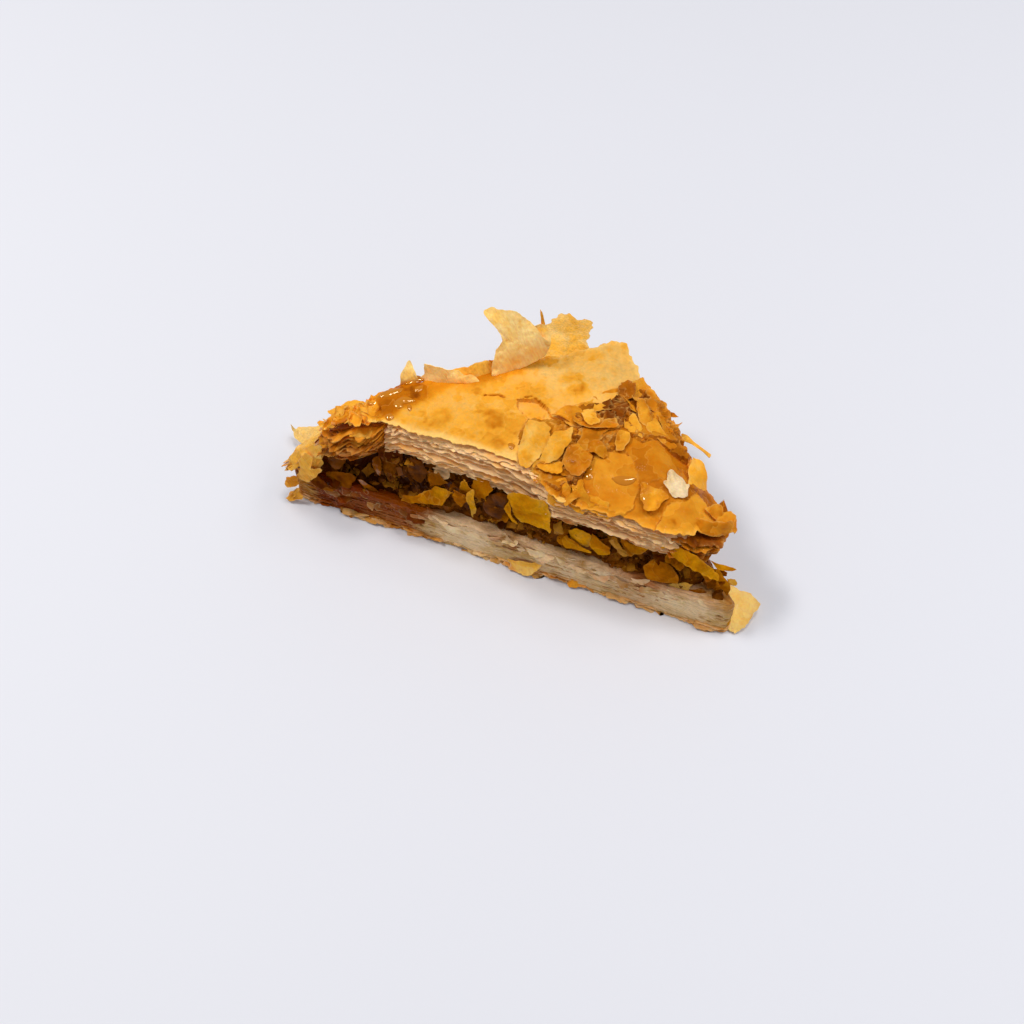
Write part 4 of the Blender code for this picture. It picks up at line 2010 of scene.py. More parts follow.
    def whole(self, places: Array, grain: Grain) -> dict[str, Array]:
        """The unbroken sheet with its veils, blisters and cracks.

        Args:
            places: (n, 2) places in plan.
            grain: the unevenness to use.

        Returns:
            Its relief and its states.
        """
        x, y = places.T
        relief = 0.38 * grain.at(places, 13.0) + 0.2 * grain.at(places, 5.5)
        relief += 0.07 * grain.rough(places, 2.2) + 0.025 * grain.at(places, 0.8)
        bake = 0.28 + 0.12 * grain.rough(places + 30, 15.0) + 0.08 * grain.rough(places, 5.0)
        veil, veil_tone, veil_rim = self.veils.over(places)
        relief += np.maximum(veil, -0.15)
        bake += 0.25 * (0.55 - veil_tone)
        for blister in self.blisters:
            uneven = 1 + 0.35 * grain.rough(places + blister.x, 2.6)
            away = np.hypot(x - blister.x, y - blister.y) * uneven
            relief += blister.height * (1 - eased(away, 0, blister.radius))
            patchy = 0.6 + 0.9 * grain.rough(places - blister.x, 2.2)
            ring = hump(away, 0.4 * blister.radius, 0.8 * blister.radius)
            bake += 1.8 * blister.browned * patchy * ring
        tone = 0.28 + 0.45 * veil_tone - 0.25 * eased(y, 24, 38)
        bake -= 0.15 * eased(y, 24, 38)
        for crack in self.cracks:
            away = distance_to(places, np.array(crack)) + 0.12 * grain.at(places, 0.8)
            relief -= 0.6 * (1 - eased(away, 0.02, 0.3))
            # Painted shade: the cracks are browned as well as sunk
            bake += 0.5 * (1 - eased(away, 0.02, 0.3))
        # The veils' edges get a faint painted highlight
        return {"relief": relief, "bake": bake, "tone": tone, "rim": 0.25 * veil_rim}

    @staticmethod
    def put(state: dict[str, Array], where: Array, **values: Array | float) -> None:
        """Gives the relief and the states other values in an area."""
        for name, value in values.items():
            state[name] = np.where(where, value, state[name])

    def break_up(self, places: Array, wavy: Array, state: dict[str, Array]) -> None:
        """Lays the shards over the two broken areas.

        Args:
            places: (n, 2) places in plan.
            wavy: the same places shifted about, for ragged borders.
            state: the relief and the states, which it changes.
        """
        x, y = places.T
        for shards, browned in ((self.field_shards, 0.4), (self.tip_shards, 0.1)):
            outline = np.array(shards.area)
            broken = enclosed(wavy, outline)
            shore = 1 - eased(distance_to(wavy, outline, closed=True), 0.0, 0.5)
            # Painted highlight along the unbroken side of the torn edge
            state["rim"] = np.where(broken, state["rim"], np.maximum(state["rim"], 0.7 * shore))
            height, tone, rim = shards.over(places)
            deeper = 0.35 * (1 - eased(np.hypot(x - 20, y - 28), 3, 10)) - 0.3 * (1 - eased(x, 3, 13))
            # The shore term paints shadow: browner just inside the torn edge of the broken field
            bake = 0.25 + browned + 0.5 * (0.4 - tone) + 0.1 * shore + deeper
            self.put(state, broken, relief=height, bake=bake, tone=tone, rim=rim)

    def lay_plates(self, places: Array, wavy: Array, grain: Grain, state: dict[str, Array]) -> None:
        """Lays the flat patches.

        Args:
            places: (n, 2) places in plan.
            wavy: the same places shifted about, for ragged borders.
            grain: the unevenness to use.
            state: the relief and the states, which it changes.
        """
        for plate in self.plates:
            outline = np.array(plate.outline)
            swell = 0.35 * grain.at(places + plate.lift, 7.0)
            relief = -0.6 + plate.lift + swell + 0.12 * grain.at(places, 2.6)
            bake = plate.bake + 0.1 * grain.rough(places + 20, 6.0)
            # Painted highlight along each plate's edge
            rim = 0.55 * (1 - eased(distance_to(wavy, outline, closed=True), 0.0, 0.4))
            self.put(state, enclosed(wavy, outline), relief=relief, bake=bake, tone=plate.tone, rim=rim)

    def syrup_band(self, places: Array, grain: Grain) -> Array:
        """How wet the crust is, along its back-left side and over the tip.

        Args:
            places: (n, 2) places in plan.
            grain: the unevenness to use.

        Returns:
            n values from 0 to 1.
        """
        side = np.array(self.slab.corners[2]) - np.array(self.slab.corners[0])
        side = side / np.linalg.norm(side)
        inward = (places - np.array(self.slab.corners[0])) @ np.array([side[1], -side[0]])
        width = np.interp(places[:, 0], [-48, -30, -20, -10, 0, 10], [14, 12.5, 7.5, 6.5, 3.5, 0.1])
        edge = width + 1.6 * grain.rough(places, 6.0) + 0.5 * grain.at(places, 1.6)
        streaks = grain.rough(places @ np.array([[0.3, 1.0], [1.0, -0.4]]), 4.0)
        return (1 - eased(inward - edge, -3.5, 1.4)) * np.clip(0.88 + 0.3 * streaks, 0, 1)


@dataclass(frozen=True)
class SyrupBeads:
    """Raised runs of syrup on the crust, which catch the light."""

    crust: CrustTop
    width: float = 1.9
    steepness: float = 0.15
    runs: tuple[tuple[Place, ...], ...] = (
        ((-35, 11.5), (-33, 13), (-30, 15.5)),
        ((-30, 17), (-28, 19.5), (-26.5, 20)),
        ((-27, 15.5), (-26, 18)),
        ((-36.5, 9), (-35, 10.5)),
        ((-30.5, 11), (-28.5, 12.5), (-26, 13)),
        ((-30.5, 10.5), (-28, 10.5)),
        ((-27, 10.5), (-26, 11)),
        ((-31, 6.5), (-29, 7)),
        ((24, 8), (27, 8.5), (29.5, 9.5)),
        ((30.5, 8.5), (32.5, 9)),
        ((17.5, 8), (18.5, 10)),
        ((18.5, 6), (19, 8)),
        ((-1, 7.5), (0.5, 8.5)),
        ((8, 12), (9, 13.5)),
    )

    def skin(self) -> Skin:
        """All the runs as one."""
        across = np.linspace(-1, 1, 11)
        share = np.linspace(0, 1, 25)
        taper = np.sin(np.clip(share, 0.02, 0.98) * math.pi) ** 0.6
        beads = []
        for number, run in enumerate(self.runs):
            corners = np.array(run)
            lengths = lengths_along(corners)
            line = placed_along(corners, lengths, share * lengths[-1])
            way = unit(np.gradient(line, axis=0))
            aside = np.stack([-way[:, 1], way[:, 0]], 1)
            half = self.width / 2 * taper * (1 + 0.25 * Grain(90 + number).at(line, 1.5))
            beside = [self.crust.surface(line + aside * out)[0] for out in (-0.7, 0.7)]
            right, left = (np.polyval(np.polyfit(share, side, 3), share)[:, None] for side in beside)
            ground = (right * (1 - across) + left * (1 + across)) / 2
            places = line[:, None] + aside[:, None] * (half[:, None] * across)[..., None]
            dome = 2 * half[:, None] * self.steepness * (1 - across**2)
            upper = np.concatenate([places, (ground + dome + 0.05)[..., None]], 2).reshape(-1, 3)
            lower = np.concatenate([places, (ground - 0.4)[..., None]], 2).reshape(-1, 3)
            beads.append(between(upper, lower, grid_faces(len(share), len(across)), {}))
        return joined(beads)


@dataclass(frozen=True)
class Layering:
    """The edges of pressed or baked sheets in a cut side, as relief, with painted shade between them."""

    pitch: float
    depth: float
    ragged: float
    wander: float
    seed: int

    def relief(self, along: Array, height: Array) -> tuple[Array, Array, Array]:
        """How far each sheet's edge stands out.

        Args:
            along: distance round the side.
            height: height above the table.

        Returns:
            The shift outwards, a tone that changes from sheet to sheet with painted shade between sheets,
            and how far down between sheets a place lies, for browner painted shade there.
        """
        grain = Grain(self.seed)
        place = np.column_stack([along, height * 2.5])
        wander = self.wander * (grain.rough(place, 13.0) + 0.4 * grain.at(place, 4.0))
        level = (height + wander) / self.pitch
        sheet = np.floor(level)
        share = level - sheet
        own = np.column_stack([along, sheet * 37.0])
        edge = grain.at(own, 3.4) + 0.5 * grain.at(own + 11, 1.2) + 0.25 * grain.at(own, 0.55)
        profile = eased(share, 0.0, 0.35) * (1 - eased(share, 0.75, 1.0))
        # Painted shade: the tone darkens down between two sheets' edges
        tone = 0.5 + 0.3 * grain.at(np.column_stack([along, sheet * 91.0]), 17.0) + 0.4 * (profile - 0.6)
        return self.ragged * edge + self.depth * (profile - 0.6), tone, 1 - profile


@dataclass(frozen=True)
class BakedStack:
    """The baked sheets under the crust, seen at the cut side and round the other two."""

    slab: Slab
    insets: Corner = (2.6, 3.0, 1.4)
    radii: Corner = (4.0, 3.5, 5.0)
    stations: int = 860
    rows: int = 78
    below_crust: float = 1.7
    middle_below: float = 1.9
    layering: Layering = Layering(pitch=1.15, depth=0.9, ragged=0.7, wander=2.2, seed=31)
    edges: SheetEdges = SheetEdges(sheets=11, reach=1.0, ragged=0.5, flutter=0.7, seed=7, thickness=0.1)
    lowest_edge: float = 0.2
    highest_edge_below: float = 1.5

    def outline(self) -> Outline:
        """The stack's side in plan."""
        return self.slab.outline(self.insets, self.radii, self.stations, baked=True)

    def bake(self, outline: Outline, rise: Array) -> Array:
        """How brown the sheets' edges are: pale at the cut side, browner at the tips and other sides.

        Args:
            outline: the stack's side in plan.
            rise: the height at each place.

        Returns:
            n values from 0 to 1.
        """
        x, y = outline.places.T
        front = np.clip(-outline.outward[:, 1] * 1.6, 0, 1) * (1 - eased(y, 7, 12))
        brown = 0.45 - 0.47 * front * eased(x, -34, -20) * (1 - eased(x, 38, 47)) + 0.2 * eased(x, 42, 48)
        return brown + 0.12 * Grain(8).rough(np.column_stack([outline.along, rise]), 9.0)

    def wet(self, outline: Outline) -> Array:
        """How wet the sheets' edges are: most at the left tip."""
        x = outline.places[:, 0]
        return 0.15 + 0.5 * (1 - eased(x, -34, -18)) + 0.1 * hump(x, 5, 12)

    def skin(self) -> Skin:
        """The stack as one closed form."""
        outline = self.outline()
        low = self.slab.crust_underside(outline.places)
        high = self.slab.crust_top(outline.places) - self.below_crust
        grain = Grain(13)
        loops, bake, wet, tone = [], [], [], []
        for share in np.linspace(0, 1, self.rows):
            rise = low + (high - low) * share
            shift, sheet_tone_and_shade, recess_shade = self.layering.relief(outline.along, rise)
            place = np.column_stack([outline.along, rise])
            shift += 0.6 * grain.rough(place, 6.0) - 0.9 * (1 - eased(share, 0, 0.06))
            plan = outline.places + outline.outward * shift[:, None]
            loops.append(np.column_stack([plan, rise]))
            # Painted shade: browner down between the sheets
            bake.append(self.bake(outline, rise) + 0.15 * eased(share, 0.8, 1.0) + 0.35 * recess_shade)
            wet.append(self.wet(outline))
            tone.append(sheet_tone_and_shade)
        heights = (
            self.slab.crust_underside,
            lambda places: self.slab.crust_top(places) - self.middle_below,
        )
        states = {"bake": bake, "wet": wet, "tone": tone}
        return self.slab.capped(loops, (0.97, 0.9, 0.7, 0.4), heights, states)

    def standing_edges(self, kitchen: Kitchen, material: bpy.types.Material) -> bpy.types.Mesh:
        """The sheets that stand out of the stack's side.

        Args:
            kitchen: makes the mesh.
            material: the sheets' material.

        Returns:
            The mesh.
        """
        outline = self.outline()
        low = self.slab.crust_underside(outline.places) + self.lowest_edge
        high = self.slab.crust_top(outline.places) - self.highest_edge_below
        state = {"bake": self.bake(outline, low), "wet": self.wet(outline)}
        return self.edges.mesh("baked_sheet_edges", kitchen, outline, low, high, state, material)


@dataclass(frozen=True)
class PressedStack:
    """The pressed sheets under the nuts."""

    slab: Slab
    insets: Corner = (0.5, 0.7, 0.6)
    radii: Corner = (1.5, 1.6, 4.0)
    stations: int = 1000
    rows: int = 76
    layering: Layering = Layering(pitch=0.62, depth=0.07, ragged=0.12, wander=2.0, seed=41)
    edges: SheetEdges = SheetEdges(sheets=5, reach=0.25, ragged=0.25, flutter=0.3, seed=19)
    edges_rise: Span = Span(2.4, 11.6)
    base_edges: SheetEdges = SheetEdges(sheets=3, reach=0.9, ragged=0.5, flutter=0.25, seed=29)
    base_rise: Span = Span(0.3, 2.0)
    base_browner: float = 0.1
    pores: int = 46

    def outline(self) -> Outline:
        """The stack's side in plan."""
        return self.slab.outline(self.insets, self.radii, self.stations)

    def bake(self, outline: Outline, rise: Array) -> Array:
        """How brown: pale at the cut side, browner low down, at the tips and on the other sides.

        Args:
            outline: the stack's side in plan.
            rise: the height at each place.

        Returns:
            n values from 0 to 1.
        """
        x = outline.places[:, 0]
        front = np.clip(-outline.outward[:, 1] * 1.6, 0, 1)
        brown = 0.5 - 0.45 * front * eased(x, -42, -24) * (1 - eased(x, 50, 58))
        brown = brown + 0.3 * (1 - eased(rise, 0.4, 2.2))
        stains = np.clip(Grain(44).rough(np.column_stack([outline.along, rise * 2]), 7.0) * 2 - 0.1, 0, 1)
        brown = brown + 0.3 * stains * eased(rise, 4.0, 8.0) - 0.15 * eased(x, 46, 54)
        return brown + 0.12 * Grain(9).rough(np.column_stack([outline.along, rise]), 8.0)

    def wet(self, outline: Outline, rise: Array) -> Array:
        """How wet: soaked at the left, and damp along the top.

        Args:
            outline: the stack's side in plan.
            rise: the height at each place.

        Returns:
            n values from 0 to 1.
        """
        x = outline.places[:, 0]
        blotches = Grain(10).rough(np.column_stack([outline.along, rise]), 6.0)
        damp = 0.4 * eased(rise + 2.5 * blotches, 6.5, 11.5) + 0.3 * hump(x, 36, 12)
        soaked = 0.95 * (1 - eased(x + 5 * blotches, -30, -14)) * eased(x, -54, -48)
        return np.clip(0.05 + damp + soaked, 0, 0.85)

    def skin(self) -> Skin:
        """The stack as one closed form."""
        outline = self.outline()
        top = self.slab.pressed_top(outline.places)
        rng = np.random.default_rng(6)
        pits = np.column_stack([
            rng.uniform(0, outline.along[-1], self.pores),
            rng.uniform(1.0, 11.0, self.pores),
            rng.uniform(0.25, 0.75, self.pores),
        ])
        grain = Grain(17)
        loops, bake, wet, tone = [], [], [], []
        for share in np.linspace(0, 1, self.rows):
            rise = top * share
            shift, sheet_tone_and_shade, recess_shade = self.layering.relief(outline.along, rise)
            place = np.column_stack([outline.along, rise])
            shift += 0.35 * grain.rough(place, 9.0) + 0.14 * grain.rough(place + 70, 1.6)
            shift -= 0.7 * eased(share, 0.9, 1.0) + 0.25 * (1 - eased(share, 0, 0.03))
            for at, up, radius in pits:
                away = np.hypot((outline.along - at) / 1.5, rise - up)
                shift -= 0.7 * (1 - eased(away, 0.3 * radius, radius))
            plan = outline.places + outline.outward * shift[:, None]
            loops.append(np.column_stack([plan, rise]))
            # Painted shade: browner down between the sheets
            bake.append(self.bake(outline, rise) + 0.1 * recess_shade)
            wet.append(self.wet(outline, rise))
            tone.append(0.5 * sheet_tone_and_shade + 0.25)
        heights = (
            level_at(0.0),
            lambda places: self.slab.pressed_top(places) + 0.25 * grain.rough(places, 3.0),
        )
        states = {"bake": bake, "wet": wet, "tone": tone}
        return self.slab.capped(loops, (0.985, 0.95, 0.9, 0.86, 0.4), heights, states)

    def standing_edges(
        self,
        kitchen: Kitchen,
        name: str,
        edges: SheetEdges,
        rise: Span,
        material: bpy.types.Material,
        browner: float = 0.0,
    ) -> bpy.types.Mesh:
        """Sheets that stand out of the stack's side.

        Args:
            kitchen: makes the mesh.
            name: its name.
            edges: how the sheets stand out.
            rise: the heights of the lowest and the highest sheet.
            material: their material.
            browner: how much browner they are than the side.

        Returns:
            The mesh.
        """
        outline = self.outline()
        lows = np.full(len(outline.along), rise.low)
        highs = np.minimum(rise.high, self.slab.pressed_top(outline.places))
        state = {"bake": self.bake(outline, highs) + browner, "wet": self.wet(outline, highs)}
        return edges.mesh(name, kitchen, outline, lows, highs, state, material)


@dataclass(frozen=True)
class NutFilling:
    """Chopped nuts and shreds of sheet in dark syrup between the two stacks."""

    slab: Slab
    insets: Corner = (4.0, 3.6, 3.6)
    radii: Corner = (2.5, 4.0, 4.0)
    stations: int = 900
    rows: int = 60
    nuts: Strewn = Strewn(Crumb.NUT, 1.4, 3.8, 1.5, 0.45, 0.5, 3)
    specks: Strewn = Strewn(Crumb.SPECK, 0.4, 1.0, 0.6, 0.5, 0.0, 12)
    bedded: float = 0.3

    def skin(self) -> Skin:
        """The filling's core as one closed form, lumpy at its sides."""
        outline = self.slab.outline(self.insets, self.radii, self.stations)
        low = np.full(self.stations, self.slab.pressed - self.bedded)
        high = self.slab.filling_top(outline.places) + 0.2
        grain = Grain(21)
        loops, tone, thick = [], [], []
        for share in np.linspace(0, 1, self.rows):
            rise = low + (high - low) * share
            place = np.column_stack([outline.along, rise * 1.2])
            lump = 1.3 * grain.rough(place, 5.0) + 0.5 * grain.at(place, 1.4)
            shift = lump - 1.2 * eased(share, 0.5, 1.0) + 1.5 * (1 - eased(share, 0.0, 0.45))
            plan = outline.places + outline.outward * shift[:, None]
            loops.append(np.column_stack([plan, rise]))
            darker = 0.5 * (1 - eased(outline.places[:, 0], -30, -10))
            # Painted shade: the hollows between lumps are darker and the lumps lighter
            tone.append(0.28 + 0.3 * grain.rough(place + 9, 3.0) + 0.2 * lump - darker)
            open_side = 0.35 + 0.65 * eased(outline.places[:, 0], -36, -24)
            thick.append(open_side * (1.0 if 0.02 < share < 0.98 else 0.0))
        inner = (0.95, 0.88, 0.8, 0.6, 0.3)
        floor = level_at(self.slab.pressed - self.bedded)
        under = [self.slab.drawn_in(loops[0], share, floor) for share in inner[::-1]]
        over = [self.slab.drawn_in(loops[-1], share, self.slab.filling_top) for share in inner]
        for loop in over:
            loop[:, 2] += 0.7 * grain.rough(loop[:, :2], 3.5)
        state = {}
        for name, rows in (("tone", tone), ("rim", thick)):
            ends = np.zeros(self.stations) if name == "rim" else rows[0]
            state[name] = np.concatenate([ends] * len(inner) + rows + [ends] * len(inner))
        return lofted([*under, *loops, *over], state)


@dataclass(frozen=True)
class BrokenCrust:
    """The larger scraps of crust that lie loose over its broken part."""

    slab: Slab
    clear: float = 0.15
    first_seed: int = 100
    pale_seed: int = 99
    scraps: tuple[TornSheet, ...] = (
        torn(
            (7, 13, 0.2), (8, 15, 0.6), (10, 16, 0.8), (12, 17.6, 1.6), (12.6, 13.6, 1.2), (12, 11, 0.8),
            (11, 8.4, 0.6), (8.2, 6.4, 0.2), (6.4, 4.4, 0.2), (6.8, 7.2, 0.3), (7.6, 10.4, 0.1),
            puff=0.9, crease=0.35, bake=0.26, wet=0.55, tone=0.55,
        ),
        torn(
            (2.4, 5.4, 0.2), (1.4, 9, 0.1), (1, 12.6, 0.1), (1.6, 16, 0.5), (4.4, 17.2, 0.2), (7, 16, 0),
            (7.4, 13, -0.2), (7.6, 10, -0.2), (7, 7, -0.2), (5, 3.2, 0), (3, 3.4, 0.1),
            puff=0.5, crease=0.35, bake=0.2, wet=0.45, tone=0.45,
        ),
        torn(
            (12, 22.6, 0.6), (13.6, 24.6, 0.1), (15, 24.2, 0), (16.2, 22, 0.2), (17.2, 21, 0.5),
            (15.4, 19, 0.5), (13.8, 19.8, 0.8),
            bake=0.26, tone=0.7, crease=0.2,
        ),
        torn(
            *level(-0.6, (9.6, 24.2), (12, 26), (13.6, 28), (15.6, 29.2), (18, 29.6), (18.6, 28),
                   (17, 27), (14, 25.6), (11, 23.8)),
            bake=0.42, tone=0.5,
        ),
        torn(
            (18, 31.4, 0), (18.6, 33.6, 0.4), (20.4, 35.4, 1), (22.2, 35.6, 1.2), (22.8, 33, 0.8),
            (23, 30.4, 0.6), (21.4, 28.8, 0.2), (19, 29.8, 0),
            bake=0.72, wet=0.6, tone=0.5, ribs=0.18, puff=0.7,
        ),
        torn(
            (23.4, 30.6, 0.2), (25, 31, 0.8), (26.6, 29.4, 1), (29, 26.6, 0.6), (28.4, 23.6, 0),
            (26, 24, -0.2), (24.4, 26.6, -0.2),
            bake=0.56, tone=0.5, puff=0.7,
        ),
        torn(
            (22, 24, 0.2), (24, 25.6, 0.6), (25.6, 24, 0.5), (27.6, 22, 0.3), (28, 19.4, 0.4),
            (25.4, 20.4, 0), (23, 21.4, 0),
            bake=0.4, tone=0.6,
        ),
        torn(
            (26.4, 27.4, 0), (28.4, 29, 0.6), (30.6, 25.6, 0.9), (32.6, 23.6, 0.9), (33.6, 20.4, 0.6),
            (31, 21.4, 0.1), (28.4, 22.4, 0),
            bake=0.45, tone=0.6, puff=0.6,
        ),
        torn(
            (28, 30, 0), (31.6, 29, 0.2), (34.6, 26.4, 0.1), (35.6, 24.4, -0.1), (34.6, 21, 0),
            (32.6, 23.4, 0.7), (30, 26.4, 0.8),
            bake=0.55, tone=0.5,
        ),
        torn(
            (17, 19.4, 0), (18, 22, 0.5), (20.4, 23.6, 0.9), (22, 21, 0.7), (20, 19.4, 0.3),
            (18.4, 17, 0), (17, 14, 0), (15.4, 14, 0),
            bake=0.52, tone=0.5,
        ),
        torn(
            (22, 19.6, 0.5), (25, 20, 0.6), (25.6, 17.6, 0.3), (24.4, 15.4, 0), (23, 14.4, 0),
            (22, 16.4, 0.1),
            bake=0.48, tone=0.55,
        ),
        torn(
            (9, 21.4, -0.5), (10, 24, -0.6), (11.6, 24.4, -0.6), (12.6, 22, -0.3), (13, 20.4, 0),
            (13, 18, 0.2), (11, 17.4, 0.3), (9.4, 18.4, 0),
            bake=0.55, tone=0.5,
        ),
        torn(
            *level(-1.1, (14.4, 26.4), (17, 27), (18.6, 27.4), (19, 25.4), (17.4, 22.4), (16, 22.4),
                   (14.4, 24.4)),
            bake=0.8, tone=0.35,
        ),
        torn(
            (12.4, 12.6, 0.1), (14.4, 13.6, 0.2), (18, 11.6, 0.7), (18.4, 7.6, 0.7), (17, 5.4, 0.5),
            (15, 5.4, 0.3), (13, 7, 0), (12, 8.4, -0.2),
            bake=0.55, tone=0.55, wet=0.6, puff=0.8,
        ),
        torn(
            (30.4, 8.6, 0.5), (35, 8, 0.2), (37.6, 7.4, 0.3), (36.4, 3.6, 0.6), (35.4, 2, 0.9),
            (33.4, 2.4, 0.6), (32, 5.4, 0.4),
            bake=0.46, tone=0.6, wet=0.8, puff=0.5,
        ),
        torn(
            (46, 8.6, 0.4), (48, 10.6, 0.9), (49.2, 11.4, 1.2), (50.2, 10, 1.1), (50.8, 9, 0.9),
            (50.6, 7.4, 0.6), (48, 7.6, 0.2),
            bake=0.5, tone=0.6, puff=0.4,
        ),
        torn(
            (49.4, 9.6, 0.4), (52, 11.4, 0.6), (53.4, 10.2, 0.4), (53, 7.4, 0.2), (51, 5.4, 0.2),
            (49.4, 6.4, 0.4),
            bake=0.42, tone=0.6, puff=0.8,
        ),
    )
    heaps: tuple[Heap, ...] = (
        Heap(
            ((9, 21), (12, 25), (17, 28.5), (19.5, 33), (24, 34), (32, 28), (36.5, 21.5), (30, 20),
             (24, 16), (18, 12), (12, 11), (11, 17)),
            count=15, length=Span(8, 15), slimness=Span(0.3, 0.5), lift=Span(-0.8, 0.2),
            rise=Span(-1.2, 1.2), bake=Span(0.38, 0.7), seed=51,
        ),
        Heap(
            ((4, 3), (8, 8), (12, 10), (17, 6), (18, 1), (11, 0.5)),
            count=5, length=Span(5, 9), slimness=Span(0.35, 0.6), lift=Span(-0.8, -0.2),
            rise=Span(-0.8, 0.8), bake=Span(0.35, 0.6), seed=52,
        ),
        Heap(
            ((25, 31.5), (29, 31), (36.5, 24), (35, 21), (29, 26)),
            count=7, length=Span(6, 11), slimness=Span(0.25, 0.4), lift=Span(-0.8, 0.2),
            rise=Span(-0.6, 0.6), bake=Span(0.55, 0.85), seed=53,
        ),
        Heap(
            ((-44, 2.5), (-33, 3.5), (-32, 8), (-37, 9), (-41, 6.5), (-44, 4)),
            count=12, length=Span(4, 8), slimness=Span(0.4, 0.7), lift=Span(-0.8, 0.2),
            rise=Span(-0.8, 0.8), bake=Span(0.1, 0.6), seed=54,
        ),
    )
    pale_scrap: TornSheet = torn(
        (35.5, 13, 0.2), (37, 14, 0.3), (39.5, 13.5, 0.4), (40.5, 12, 0.4), (41.5, 12, 0.4),
        (41.5, 9, 0.4), (41, 8, 0.3), (38.5, 7.5, 0.2), (37.5, 8.5, 0.1), (35.5, 10, 0.2),
        (36.5, 11, 0.1),
        puff=0.3, crease=0.5, bake=0.05, wet=0, tone=0.55, ribs=0.16, ragged=0.35,
    )

    def skin(self) -> Skin:
        """All the scraps but the pale one, as one."""
        flakes = [flake for heap in self.heaps for flake in heap.skins(self.floor)]
        return joined([together(self.scraps, self.first_seed, self.floor), *flakes])

    def pale_skin(self) -> Skin:
        """The pale scrap."""
        return self.pale_scrap.skin(self.pale_seed, self.floor)

    def floor(self, places: Array) -> Array:
        """What the scraps lie on."""
        return self.slab.crust_top(places) + self.clear


